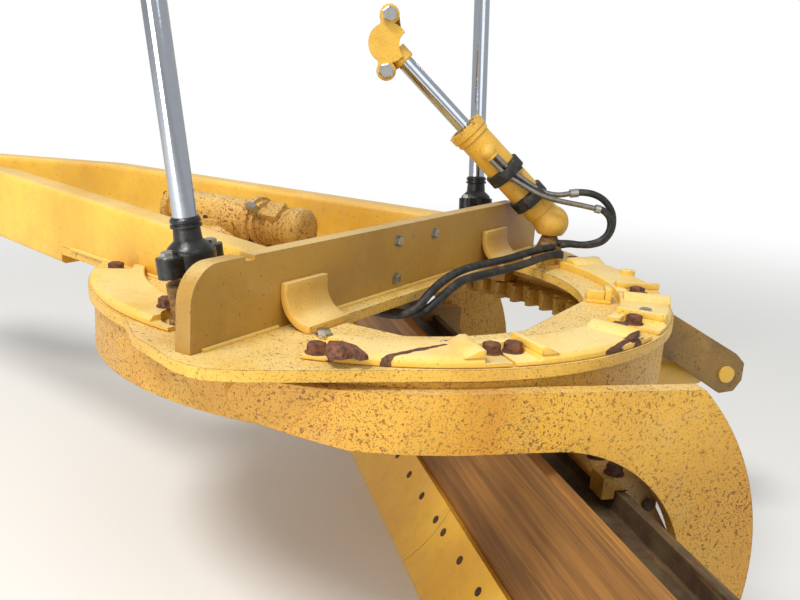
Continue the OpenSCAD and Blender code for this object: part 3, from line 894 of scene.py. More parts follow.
class NodeTree:
    """A geometry node tree with named inputs, and the way to run it on a plain mesh."""

    def __init__(self, name: str, inputs: dict[str, str]) -> None:
        """Starts the tree with a geometry input, the named inputs and a geometry output.

        Args:
            name: The tree's name.
            inputs: The kind of socket for each named input.
        """
        self.tree = bpy.data.node_groups.new(name, "GeometryNodeTree")
        face = self.tree.interface
        face.new_socket("Geometry", in_out="INPUT", socket_type="NodeSocketGeometry")
        self.sockets = {key: face.new_socket(key, in_out="INPUT", socket_type=kind).identifier
                        for key, kind in inputs.items()}
        face.new_socket("Geometry", in_out="OUTPUT", socket_type="NodeSocketGeometry")
        self.source = self.tree.nodes.new("NodeGroupInput")
        self.sink = self.tree.nodes.new("NodeGroupOutput")

    def node(self, kind: str, links: dict[str | int, object], **settings: object) -> bpy.types.Node:
        """Adds a node and links or sets its inputs.

        Args:
            kind: The node's type.
            links: For each input, by name or number, an output socket or a value.
            **settings: The node's own properties.

        Returns:
            The new node.
        """
        node = self.tree.nodes.new(kind)
        for key, value in settings.items():
            setattr(node, key, value)
        for key, value in links.items():
            plug(self.tree, node.inputs[key], value)
        return node

    def maths(self, operation: str, a: object, b: object = 0.0) -> bpy.types.NodeSocket:
        """The result of a maths node on two values."""
        return self.node("ShaderNodeMath", {0: a, 1: b}, operation=operation).outputs[0]

    def close(self, geometry: bpy.types.NodeSocket) -> None:
        """Ends the tree with real meshes that wear the finish.

        Args:
            geometry: The socket that gives the result.
        """
        real = self.node("GeometryNodeRealizeInstances", {"Geometry": geometry})
        worn = self.node("GeometryNodeSetMaterial",
                         {"Geometry": real.outputs[0], "Material": self.source.outputs["Finish"]})
        self.tree.links.new(worn.outputs[0], self.sink.inputs[0])

    def run(self, mesh: bpy.types.Mesh, label: Label, values: dict[str, object], smooth: float) -> None:
        """Runs the tree on a mesh and keeps the result as one plain piece.

        Args:
            mesh: The points or routes that the tree reads.
            label: The piece's name, finish, body, slot and nodes.
            values: The value of each named input.
            smooth: The angle in degrees under which faces shade as one.
        """
        piece = added(label.name, mesh)
        modifier = piece.modifiers.new("tree", "NODES")
        modifier.node_group = self.tree
        for key, value in {**values, "Finish": material(label.finish)}.items():
            modifier[self.sockets[key]] = value
        settle(piece)
        hand_over(piece, label, smooth)


class PipeTree(NodeTree):
    """Turns routes of points into round pipes, hoses or weld beads."""

    def __init__(self) -> None:
        """Builds the tree."""
        super().__init__("route_pipe", {"Radius": "NodeSocketFloat", "Step": "NodeSocketFloat",
                                        "Sides": "NodeSocketInt", "Finish": "NodeSocketMaterial"})
        given = self.source.outputs
        line = self.node("GeometryNodeMeshToCurve", {"Mesh": given["Geometry"]})
        bent = self.node("GeometryNodeCurveSplineType", {"Curve": line.outputs[0]},
                         spline_type="CATMULL_ROM")
        even = self.node("GeometryNodeResampleCurve",
                         {"Curve": bent.outputs[0], "Length": given["Step"]}, mode="LENGTH")
        ring = self.node("GeometryNodeCurvePrimitiveCircle",
                         {"Resolution": given["Sides"], "Radius": given["Radius"]})
        tube = self.node("GeometryNodeCurveToMesh",
                         {"Curve": even.outputs[0], "Profile Curve": ring.outputs[0], "Fill Caps": True})
        self.close(tube.outputs[0])

    def lay(self, label: Label, routes: list[list[Vector]], radius: float, sides: int = 14,
            step: float = 0.010) -> None:
        """Lays a pipe along each route.

        Args:
            label: The piece's name, finish, body, slot and nodes.
            routes: The points of each route, in the row frame.
            radius: The pipes' radius.
            sides: Facets round the pipe.
            step: Spacing of the rings along it.
        """
        points: list[Vector] = []
        edges: list[tuple[int, int]] = []
        for route in routes:
            base = len(points)
            points += route
            edges += [(base + k, base + k + 1) for k in range(len(route) - 1)]
        mesh = bpy.data.meshes.new(label.name)
        mesh.from_pydata(points, edges, [])
        self.run(mesh, label, {"Radius": radius, "Step": step, "Sides": sides}, 60.0)


@dataclass(frozen=True)
class Bolt:
    """A fastener's place, the way that it stands out, and its head's radius."""

    at: Vector
    way: Vector
    size: float


class BoltTree(NodeTree):
    """Sets a many-sided head with a chamfer and a washer on each point."""

    def __init__(self) -> None:
        """Builds the tree."""
        super().__init__("bolt_heads", {"Sides": "NodeSocketInt", "Height": "NodeSocketFloat",
                                        "Washer": "NodeSocketFloat", "Finish": "NodeSocketMaterial"})
        given = self.source.outputs
        head = self.node("GeometryNodeMeshCylinder",
                         {"Vertices": given["Sides"], "Radius": 1.0, "Depth": given["Height"]})
        rise = self.node("ShaderNodeCombineXYZ", {"Z": self.maths("MULTIPLY", given["Height"], 0.5)})
        raised = self.node("GeometryNodeTransform",
                           {"Geometry": head.outputs["Mesh"], "Translation": rise.outputs[0]})
        top = self.node("GeometryNodeMeshCone", {"Vertices": given["Sides"], "Radius Bottom": 1.0,
                                                 "Radius Top": 0.80, "Depth": 0.12})
        crown = self.node("ShaderNodeCombineXYZ", {"Z": given["Height"]})
        capped = self.node("GeometryNodeTransform",
                           {"Geometry": top.outputs["Mesh"], "Translation": crown.outputs[0]})
        disc = self.node("GeometryNodeMeshCylinder",
                         {"Vertices": 28, "Radius": given["Washer"], "Depth": 0.22})
        parts = self.node("GeometryNodeJoinGeometry", {})
        for output in (raised.outputs[0], capped.outputs[0], disc.outputs["Mesh"]):
            self.tree.links.new(output, parts.inputs[0])
        turn = self.node("GeometryNodeInputNamedAttribute", {"Name": "turn"}, data_type="FLOAT_VECTOR")
        size = self.node("GeometryNodeInputNamedAttribute", {"Name": "size"}, data_type="FLOAT")
        euler = self.node("FunctionNodeEulerToRotation", {"Euler": turn.outputs["Attribute"]})
        placed = self.node("GeometryNodeInstanceOnPoints",
                           {"Points": given["Geometry"], "Instance": parts.outputs[0],
                            "Rotation": euler.outputs[0], "Scale": size.outputs["Attribute"]})
        self.close(placed.outputs[0])

    def set(self, label: Label, bolts: list[Bolt], height: float = 0.68, washer: float = 1.22,
            sides: int = 6) -> None:
        """Sets a row of bolts.

        Args:
            label: The piece's name, finish, body, slot and nodes.
            bolts: Where each stands.
            height: The heads' height, as a share of their radius.
            washer: The washers' radius, as a share of the heads'.
            sides: How many sides the heads have.
        """
        draw = random.Random(len(bolts) + 11)
        mesh = bpy.data.meshes.new(label.name)
        mesh.from_pydata([bolt.at for bolt in bolts], [], [])
        mesh.attributes.new("turn", "FLOAT_VECTOR", "POINT")
        mesh.attributes.new("size", "FLOAT", "POINT")
        for k, bolt in enumerate(bolts):
            spin = Quaternion((0.0, 0.0, 1.0), draw.uniform(0.0, math.pi / 3.0))
            turn = (bolt.way.to_track_quat("Z", "Y") @ spin).to_euler()
            mesh.attributes["turn"].data[k].vector = tuple(turn)
            mesh.attributes["size"].data[k].value = bolt.size
        self.run(mesh, label, {"Sides": sides, "Height": height, "Washer": washer}, 25.0)


@dataclass
class Studio:
    """The floor, the light and the camera, which stands where the photograph was taken from."""

    camera_at: Point = (-3.728, 2.118, 0.500)
    yaw: float = math.radians(-59.768)
    pitch: float = math.radians(14.106)
    roll: float = math.radians(-3.914)
    focal_pixels: float = 910.2
    image_size: tuple[int, int] = (800, 600)
    centre: tuple[float, float] = (395.68, 302.18)
    sensor: float = 36.0
    middle: Point = (-2.4, 0.0, -0.1)
    half_floor: float = 60.0
    sky: float = 0.55

    def camera(self) -> None:
        """Turns the camera by yaw, pitch and roll, and shifts it by the picture's centre."""
        cy, sy = math.cos(self.yaw), math.sin(self.yaw)
        cp, sp = math.cos(self.pitch), math.sin(self.pitch)
        cr, sr = math.cos(self.roll), math.sin(self.roll)
        ahead = Vector((cy * cp, sy * cp, -sp))
        right = Vector((sy, -cy, 0.0))
        down = ahead.cross(right)
        right, down = cr * right + sr * down, cr * down - sr * right
        turn = Matrix((right, -down, -ahead)).transposed().to_4x4()
        width, height = self.image_size
        data = bpy.data.cameras.new("camera")
        data.sensor_width = self.sensor
        data.lens = self.focal_pixels / width * self.sensor
        data.shift_x = (width / 2 - self.centre[0]) / width
        data.shift_y = (self.centre[1] - height / 2) / width
        data.clip_start = 0.05
        data.clip_end = 200.0
        camera = added("camera", data)
        camera.matrix_world = Matrix.Translation(self.camera_at) @ turn
        bpy.context.scene.camera = camera

    def floor(self, height: float) -> None:
        """Lays the floor under the lowest piece.

        Args:
            height: The floor's height in the row frame.
        """
        mesh = bpy.data.meshes.new("floor")
        half = self.half_floor
        mesh.from_pydata([(-half, -half, height), (half, -half, height), (half, half, height),
                          (-half, half, height)], [], [(0, 1, 2, 3)])
        mesh.materials.append(PaleFloor("floor_pale", (232, 232, 230)).make())
        added("floor", mesh)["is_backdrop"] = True

    def lamp(self, name: str, at: Point, size: float, watts: float, colour: Colour) -> None:
        """Adds one soft area lamp that points at the group's middle.

        Args:
            name: The lamp's name.
            at: Where it stands.
            size: Its width.
            watts: Its power.
            colour: Its colour.
        """
        data = bpy.data.lights.new(name, "AREA")
        data.shape = "DISK"
        data.size = size
        data.energy = watts
        data.color = colour
        way = Vector(self.middle) - Vector(at)
        turn = way.to_track_quat("-Z", "Y").to_matrix().to_4x4()
        added(name, data).matrix_world = Matrix.Translation(at) @ turn

    def light(self) -> None:
        """Lights the group softly, from the machine's left as in the photograph."""
        self.lamp("key", (-1.9, 5.2, 6.8), 3.0, 590.0, (1.0, 0.98, 0.94))
        self.lamp("fill", (-7.5, 2.5, 3.5), 5.0, 70.0, (0.93, 0.96, 1.0))
        self.lamp("side", (-2.2, 6.4, 0.2), 3.5, 140.0, (1.0, 0.98, 0.95))

    def backdrop(self) -> None:
        """Makes a world that is white to the camera and dimmer as a light."""
        world = bpy.data.worlds.new("studio")
        world.use_nodes = True
        tree = world.node_tree
        tree.nodes.clear()
        paths = tree.nodes.new("ShaderNodeLightPath")
        seen = tree.nodes.new("ShaderNodeMath")
        seen.operation = "MAXIMUM"
        tree.links.new(paths.outputs["Is Camera Ray"], seen.inputs[0])
        tree.links.new(paths.outputs["Is Transmission Ray"], seen.inputs[1])
        bright = tree.nodes.new("ShaderNodeMix")
        bright.inputs[2].default_value = self.sky
        bright.inputs[3].default_value = 1.0
        tree.links.new(seen.outputs[0], bright.inputs[0])
        back = tree.nodes.new("ShaderNodeBackground")
        back.inputs["Color"].default_value = (1.0, 1.0, 1.0, 1.0)
        tree.links.new(bright.outputs[0], back.inputs["Strength"])
        out = tree.nodes.new("ShaderNodeOutputWorld")
        tree.links.new(back.outputs[0], out.inputs["Surface"])
        bpy.context.scene.world = world


@dataclass
class Drawbar:
    """The two humped beams, the bent hose guards and the yoke plate's wide window."""

    cross_back: float = 0.089
    cross_front: float = -0.049
    half_wide: float = 0.517
    taper: float = math.radians(10.6)
    beam_wide: float = 0.0967
    beam_high: float = 0.215
    corner: float = 0.018
    foot: float = 0.0004
    apron: float = 0.905
    neck: float = 2.150
    tops: tuple[tuple[float, float], ...] = ((-0.049, 0.131), (1.300, 0.174), (2.150, 0.147))
    guard_bend: float = 0.080
    guard_thick: float = 0.018
    guard_high: float = 0.102
    guard_run: tuple[float, float] = (0.425, 0.580)
    window_r: float = 0.548

    def side_at(self, x: float) -> float:
        """How far out a beam's outer face is at a distance ahead of the axis."""
        return self.half_wide - x * math.tan(self.taper)

    def section(self, x: float, low: float, round_low: float) -> list[Vector]:
        """The beam's rounded section.

        Args:
            x: How far the section is ahead of the circle's axis.
            low: The height of its lower edge.
            round_low: The radius of its lower corners.

        Returns:
            The section's points in the row frame.
        """
        top = self.top_at(x)
        outer = self.side_at(x)
        inner = outer - self.beam_wide
        r = self.corner
        outline = arc((outer - r, top - r), r, 0, 90, 5) + arc((inner + r, top - r), r, 90, 180, 5)
        outline += arc((inner + round_low, low + round_low), round_low, 180, 270, 5)
        outline += arc((outer - round_low, low + round_low), round_low, 270, 360, 5)
        return [YOKE @ Vector((x, a, b)) for a, b in outline]

    def top_at(self, x: float) -> float:
        """The height of the beam's top edge.

        Args:
            x: How far ahead of the circle's axis.

        Returns:
            The height over the yoke plate's top face.
        """
        for (x0, z0), (x1, z1) in zip(self.tops, self.tops[1:]):
            if x <= x1:
                return z0 + (z1 - z0) * (x - x0) / (x1 - x0)
        return self.tops[-1][1]

    def beams(self) -> None:
        """Builds both beams, which stand on the yoke plate and run on ahead of it."""
        hump = self.tops[1][0]
        sections = [self.section(x, 0.0, self.foot) for x in (self.cross_front, 0.4, self.apron)]
        sections += [self.section(x, self.top_at(x) - self.beam_high, self.corner)
                     for x in (self.apron + 0.0005, hump - 0.01, hump + 0.01, self.neck)]
        for side, way in SIDES:
            shape = Shape().loft([[way @ point for point in section] for section in sections])
            shape.piece(on_drawbar(f"beam_{side}_humped", Finish.PAINT, f"beam_{side}"))

    def guards(self) -> None:
        """Builds the guards that are bent from thick plate behind the cross plate."""
        bend, thick, high = self.guard_bend, self.guard_thick, self.guard_high
        lip = bend + 0.003
        outline = [(0.0, high)] + arc((bend, bend), bend, 180, 270, 14) + [(lip, 0.0), (lip, thick)]
        outline += arc((bend, bend), bend - thick, 270, 180, 14) + [(thick, high)]
        backwards = moved_by(-self.cross_back, 0.0, 0.0) @ Matrix.Diagonal((-1, 1, 1, 1)) @ SIDEWAYS
        shape = Shape()
        for _, way in SIDES:
            shape.prism(outline, *self.guard_run, way @ YOKE @ backwards)
        shape.piece(on_drawbar("guards_bent", Finish.PAINT_DUSTY, "hose_guards"), 0.003)

    def window(self, frame: dict) -> None:
        """Cuts the yoke plate's window wider to the right.
        """
        work = bmesh.new()
        work.from_mesh(frame["nodes"]["yoke_plate"].data)
        bmesh.ops.remove_doubles(work, verts=work.verts, dist=MERGE)
        bmesh.ops.recalc_face_normals(work, faces=work.faces)
        mesh = bpy.data.meshes.new("yoke_plate_wide")
        work.to_mesh(mesh)
        work.free()
        plate = added("yoke_plate_wide", mesh)
        edge = [(-0.134, -0.430), (-0.134, -0.520)] + arc((0.0, 0.0), self.window_r, 251.6, 235.6, 4)
        edge.append(polar(self.window_r, 231.7))
        carve(plate, (Shape().prism(edge, -0.060, 0.020, YOKE),))
        hand_over(plate, on_drawbar("yoke_plate_wide", Finish.PAINT_PLATE, "yoke_plate"), 9.0)


@dataclass
class RimCovers:
    """The cast covers bolted on the rim, with bolt pockets, ridges and a broken latch."""

    inner: float = 0.642
    outer: float = 0.774
    thick: float = 0.022
    floor: float = 0.010
    bevel_low: float = 0.012
    bevel_wide: float = 0.010
    seam: tuple[float, float] = (0.006, 0.002)
    rounding: float = 0.003
    pocket: float = 4.4
    pocket_in: float = 0.676
    runs: tuple[tuple[float, float], ...] = (
        (40.0, 86.0), (109.5, 141.7), (142.3, 175.5), (179.5, 206.0), (207.0, 245.0), (274.0, 320.0))
    ridges: tuple[tuple[float, int], ...] = (
        (137.3, -1), (146.7, 1), (171.1, -1), (183.9, 1), (201.6, -1), (211.4, 1), (240.6, -1))
    latch: float = 203.0
    latch_r: float = 0.554
    stump_at: tuple[float, float] = (-0.352, 0.711)
    stud: Point = (0.070, 0.690, 0.0)

    def profile(self, pocket: bool) -> Outline:
        """The cover's section, with or without the pocket.

        Args:
            pocket: Whether the section runs through a pocket.

        Returns:
            Radius and height of each point.
        """
        t, p, i, o, r = self.thick, self.pocket_in, self.inner, self.outer, self.rounding
        top = self.floor if pocket else t
        low = self.floor if pocket else self.bevel_low
        deep, high = self.seam
        return [(i, 0.0), (o - deep, 0.0), (o - deep, high), (o, high), (o, low), (o - self.bevel_wide, top),
                (p, top), (p - r, t), (i + r, t), (i, t - r)]

    def sweep(self, start: float, stop: float) -> list[list[Vector]]:
        """The sections of one cover, with a pocket at either end.

        Args:
            start: Where the cover starts, in degrees.
            stop: Where it stops.

        Returns:
            The points of each section, in the row frame.
        """
        wall = 0.15
        first, last = start + self.pocket + wall, stop - self.pocket - wall
        count = max(int((stop - start) / 2.2), 4)
        stops = [(start, True), (start + self.pocket, True), (first, False)]
        stops += [(first + (last - first) * k / count, False) for k in range(1, count + 1)]
        stops += [(stop - self.pocket, True), (stop, True)]
        sections = []
        for angle, pocket in stops:
            place = YOKE @ turned_z(angle)
            sections.append([place @ Vector((r, 0.0, z)) for r, z in self.profile(pocket)])
        return sections

    def covers(self) -> None:
        """Builds the four rear covers, and the front two, which clear the studs and the beams."""
        rear, front = Shape(), Shape()
        for start, stop in self.runs[1:5]:
            rear.loft(self.sweep(start, stop))
        rear.piece(on_drawbar("covers_rear", Finish.PAINT_COVER, "rim_covers"), 0.0015)
        for start, stop in (self.runs[0], self.runs[5]):
            front.loft(self.sweep(start, stop))
        tools = []
        for _, way in SIDES:
            tools.append(Shape().rod(0.062, -0.010, 0.050, way @ YOKE @ moved_by(*self.stud), 64))
            slant = way @ YOKE @ moved_by(0.0, 0.518, 0.0) @ turned_z(-10.6)
            tools.append(Shape().block((-0.20, -0.40, -0.01), (1.0, 0.0, 0.05), slant))
        front.piece(on_drawbar("covers_front", Finish.PAINT_COVER, "rim_covers"), 0.0, tuple(tools))

    def lugs(self) -> None:
        """Builds the ridges beside the pockets and the broken latch near the window."""
        shape = Shape()
        sunk, high, crest, base = self.thick - 0.002, self.thick + 0.015, 0.016, 0.048
        for angle, way in self.ridges:
            outline = [(0.0, sunk), (0.0, high), (way * crest, high), (way * base, sunk)]
            shape.prism(outline, self.inner + 0.008, self.outer - 0.003, YOKE @ turned_z(angle) @ ENDWAYS)
        place = YOKE @ turned_z(self.latch) @ moved_by(self.latch_r, -0.035, 0.0)
        shape.block((0.0, 0.0, 0.0), (0.066, 0.070, 0.012), place)
        shape.block((0.0, 0.0, 0.011), (0.047, 0.018, 0.034), place)
        shape.block((0.048, 0.0, 0.011), (0.066, 0.070, 0.040), place)
        shape.piece(on_drawbar("cover_ridges", Finish.PAINT_COVER, "cover_lugs"), 0.0025)

    def stump(self) -> None:
        """Builds the rusty stump of a broken bracket beside the left rear bolt."""
        outline = [(0.040, 0.013), (0.022, -0.019), (-0.010, -0.033), (-0.044, -0.021), (-0.036, 0.001),
                   (-0.016, -0.005), (-0.008, 0.021), (0.016, 0.031)]
        low, slope = 0.020, 7.5
        place = YOKE @ moved_by(*self.stump_at, 0.0)
        sections = []
        for level, share in ((low, 1.0), (0.034, 0.96), (0.044, 0.78)):
            sections.append([place @ Vector((x * share, y * share, level + x * slope * (level - low)))
                             for x, y in outline])
        shape = Shape().loft(sections)
        shape.piece(Label("stump_rusty", Finish.RUST, "drawbar", "rusty_steel"), 0.002)


@dataclass
class CircleDrive:
    """The worm gear's cast housing and the ribbed motor."""

    axis_x: float = 0.550
    worm_y: float = 0.060
    worm_z: float = 0.112
    tunnel: float = 0.062
    flange: float = 0.076
    ribs: int = 10
    fins: int = 6
    pitch: float = 0.016

    def housing(self) -> None:
        """Builds the housing with its ribs and the worm's tunnel."""
        place = YOKE @ moved_by(self.axis_x, 0.0, 0.0)
        profile = [(0.0, 0.040), (0.0455, 0.040), (0.0455, -0.045), (0.1257, -0.045), (0.1257, 0.0),
                   (0.168, 0.0), (0.168, 0.024), (0.150, 0.030), (0.143, 0.074), (0.130, 0.092),
                   (0.130, 0.110), (0.108, 0.114), (0.094, 0.138), (0.062, 0.148), (0.0, 0.148)]
        shape = Shape().lathe(profile, place, 96)
        for k in range(self.ribs):
            rib = place @ turned_z(360.0 / self.ribs * (k + 1))
            shape.block((0.120, -0.007, 0.010), (0.158, 0.007, 0.080), rib)
        worm = place @ moved_by(0.0, self.worm_y, self.worm_z) @ Matrix.Rotation(math.pi / 2, 4, "Y")
        shape.rod(self.tunnel, -0.150, 0.150, worm)
        for x in (-0.160, 0.150):
            shape.rod(self.flange, x, x + 0.022, worm, 64)
        shape.piece(on_drawbar("housing_cast", Finish.PAINT_MOTOR, "gear_housing"), 0.002)

    def motor(self) -> None:
        """Builds the motor, turned about its shaft."""
        profile = [(0.0, 0.0), (0.066, 0.0), (0.066, 0.016)]
        for k in range(self.fins):
            z = self.pitch * k
            profile += [(0.052, 0.018 + z), (0.052, 0.024 + z), (0.057, 0.026 + z), (0.057, 0.031 + z)]
        profile += [(0.052, 0.116), (0.052, 0.124), (0.061, 0.126), (0.061, 0.152), (0.054, 0.162),
                    (0.040, 0.168), (0.0, 0.170)]
        place = YOKE @ moved_by(self.axis_x - 0.160, self.worm_y, self.worm_z)
        place = place @ Matrix.Rotation(-math.pi / 2, 4, "Y")
        shape = Shape().lathe(profile, place)
        shape.block((0.030, -0.030, 0.040), (0.066, 0.030, 0.096), place @ turned_z(35.0))
        shape.piece(on_drawbar("motor_ribbed", Finish.PAINT_MOTOR, "drive_motor"), 0.001)


@dataclass
class LiftFeet:
    """The ball studs under the lift cylinders and the two-lobed black sockets on them."""

    stud: Point = (0.070, 0.690, 0.145)
    lean: Point = (0.11, 0.10, 1.0)
    ball: float = 0.038
    shell: float = 0.056
    lobe: float = 0.064
    lobe_r: float = 0.027

    def line(self) -> Matrix:
        """The left cylinder's own line, its lobes across the machine."""
        around = math.degrees(math.atan2(self.lean[1], self.lean[0]))
        return YOKE @ moved_by(*self.stud) @ aimed(self.lean) @ turned_z(-around)

    def studs(self) -> None:
        """Builds both studs."""
        shape = Shape()
        for _, way in SIDES:
            place = way @ YOKE @ moved_by(self.stud[0], self.stud[1], 0.0)
            shape.lathe([(0.0, 0.0), (0.044, 0.0), (0.044, 0.008), (0.038, 0.012), (0.052, 0.086),
                         (0.048, 0.090), (0.022, 0.092), (0.0198, 0.120), (0.0, 0.120)], place)
            shape.ball(self.ball, place @ moved_by(0.0, 0.0, self.stud[2]))
        shape.piece(Label("studs_cast", Finish.STUD, "drawbar", "rusty_steel", ("lift_studs",)))

    def sockets(self) -> None:
        """Builds both sockets, bored for the ball."""
        lobe, r, waist = self.lobe, self.lobe_r, 0.052
        outline = arc((0.0, 0.0), self.shell, -60, 60, 10) + [(r, waist)] + arc((0.0, lobe), r, 0, 180, 12)
        outline += [(-r, waist)] + arc((0.0, 0.0), self.shell, 120, 240, 10) + [(-r, -waist)]
        outline += arc((0.0, -lobe), r, 180, 360, 12) + [(r, -waist)]
        neck = [(0.0, 0.0), (0.050, 0.0), (0.050, 0.020), (0.046, 0.028), (0.031, 0.042), (0.029, 0.068),
                (0.034, 0.070), (0.034, 0.076), (0.030, 0.077), (0.030, 0.080), (0.033, 0.081),
                (0.033, 0.087), (0.029, 0.092), (0.0, 0.092)]
        opening = [(0.0, -0.060), (0.062, -0.060), (0.030, -0.008), (0.0, -0.008)]
        for side, way in SIDES:
            place = way @ self.line()
            shape = Shape().prism(outline, -0.026, 0.018, place).lathe(neck, place)
            tools = (Shape().ball(self.ball + 0.0003, place), Shape().lathe(opening, place))
            label = Label(f"socket_{side}_lobed", Finish.BLACK, f"lift_{side}", "black_paint",
                          (f"lift_socket_{side}",))
            shape.piece(label, 0.0, tools)


@dataclass
class CentreShift:
    """The centre-shift cylinder with its castellated gland, its bolted socket and its clamps."""

    foot: Point = (-0.220, -0.660, 0.126)
    way: Point = (0.475, 0.304, 0.521)
    foot_r: float = 0.056
    bore: float = 0.0363
    barrel_r: float = 0.051
    gland: float = 0.418
    gland_r: float = 0.060
    notches: int = 8
    port: float = 0.315
    clamp_at: tuple[float, float] = (0.112, 0.226)
    clamp_r: float = 0.061
    bolt_z: float = 0.083
    cap_face: float = 0.0482

    def line(self) -> Matrix:
        """The cylinder's own line from its foot."""
        return YOKE @ moved_by(*self.foot) @ aimed(self.way)

    def head(self) -> Matrix:
        """The upright frame of the socket at the rod's end."""
        at = Vector(self.foot) + Vector(self.way)
        return YOKE @ Matrix.Translation(at) @ Matrix.Rotation(math.atan2(self.way[1], self.way[0]), 4, "Z")

    def barrel(self) -> None:
        """Builds the barrel, its port boss and the gland's notched ring."""
        place = self.line()
        g, r, b = self.gland, self.gland_r, self.barrel_r
        globe = arc((0.0, 0.0), self.foot_r, -81, 27, 12)
        profile = [(0.0, -self.foot_r)] + globe + [
            (0.048, 0.040), (0.048, 0.046), (b, 0.050), (b, g - 0.048), (0.056, g - 0.046),
            (0.056, g - 0.030), (r, g - 0.028), (r, g - 0.011), (0.038, g - 0.011), (0.034, g - 0.004),
            (0.0, g - 0.004)]
        shape = Shape().lathe(profile, place, 80)
        for k in range(self.notches):
            middle = 360 / self.notches * k
            outline = arc((0.0, 0.0), r, middle - 15, middle + 15, 4)
            outline += arc((0.0, 0.0), 0.046, middle + 15, middle - 15, 4)
            shape.prism(outline, g - 0.012, g, place)
        shape.ball(0.026, place @ moved_by(0.0, 0.055, self.port))
        shape.rod(0.022, 0.293, self.port, place @ moved_by(0.0, 0.055, 0.0))
        opening = [(0.0, -0.100), (0.100, -0.100), (0.016, -0.016), (0.0, -0.016)]
        tools = (Shape().ball(self.bore, place), Shape().lathe(opening, YOKE @ moved_by(*self.foot)))
        label = Label("shift_barrel_cast", Finish.PAINT, "centre_shift", "yellow_paint", ("shift_barrel",))
        shape.piece(label, 0.0, tools)

    def cap(self) -> None:
        """Builds the socket's rod half and its bolted cap."""
        lobe, ring = 0.030, 0.060
        outline = arc((0.0, self.bolt_z), lobe, -30, 242, 14) + arc((0.0, 0.0), ring, 105, 145.9, 5)
        outline += arc((-0.078, 0.0), 0.044, 49.9, -49.9, 8) + arc((0.0, 0.0), ring, 214.1, 255, 5)
        outline += arc((0.0, -self.bolt_z), lobe, 118, 390, 14) + arc((0.0, 0.0), ring, -64, 64, 12)
        place = self.head() @ SIDEWAYS
        shape = Shape().prism(outline, -0.048, -0.001, place).prism(outline, 0.001, self.cap_face, place)
        collar = [(0.0, 0.690), (0.031, 0.690), (0.034, 0.694), (0.034, 0.735), (0.0, 0.735)]
        shape.lathe(collar, self.line())
        label = Label("shift_socket_bolted", Finish.PAINT, "centre_shift_rod", "yellow_paint",
                      ("shift_cap",))
        shape.piece(label, 0.0025, (Shape().ball(0.040, self.head()),))

    def clamps(self) -> None:
        """Builds the two rubber clamps round the barrel and the pipes."""
        inner, outer, edge = self.barrel_r + 0.0002, self.clamp_r, self.clamp_r - 0.002
        shape = Shape()
        for z in self.clamp_at:
            band = [(inner, z - 0.021), (edge, z - 0.021), (outer, z - 0.018), (outer, z + 0.018),
                    (edge, z + 0.021), (inner, z + 0.021), (inner, z - 0.021)]
            shape.lathe(band, self.line(), 48)
            shape.block((-0.046, 0.048, z - 0.017), (0.024, 0.082, z + 0.017), self.line())
        shape.piece(Label("shift_clamps", Finish.RUBBER, "centre_shift", "black_paint"), 0.003)


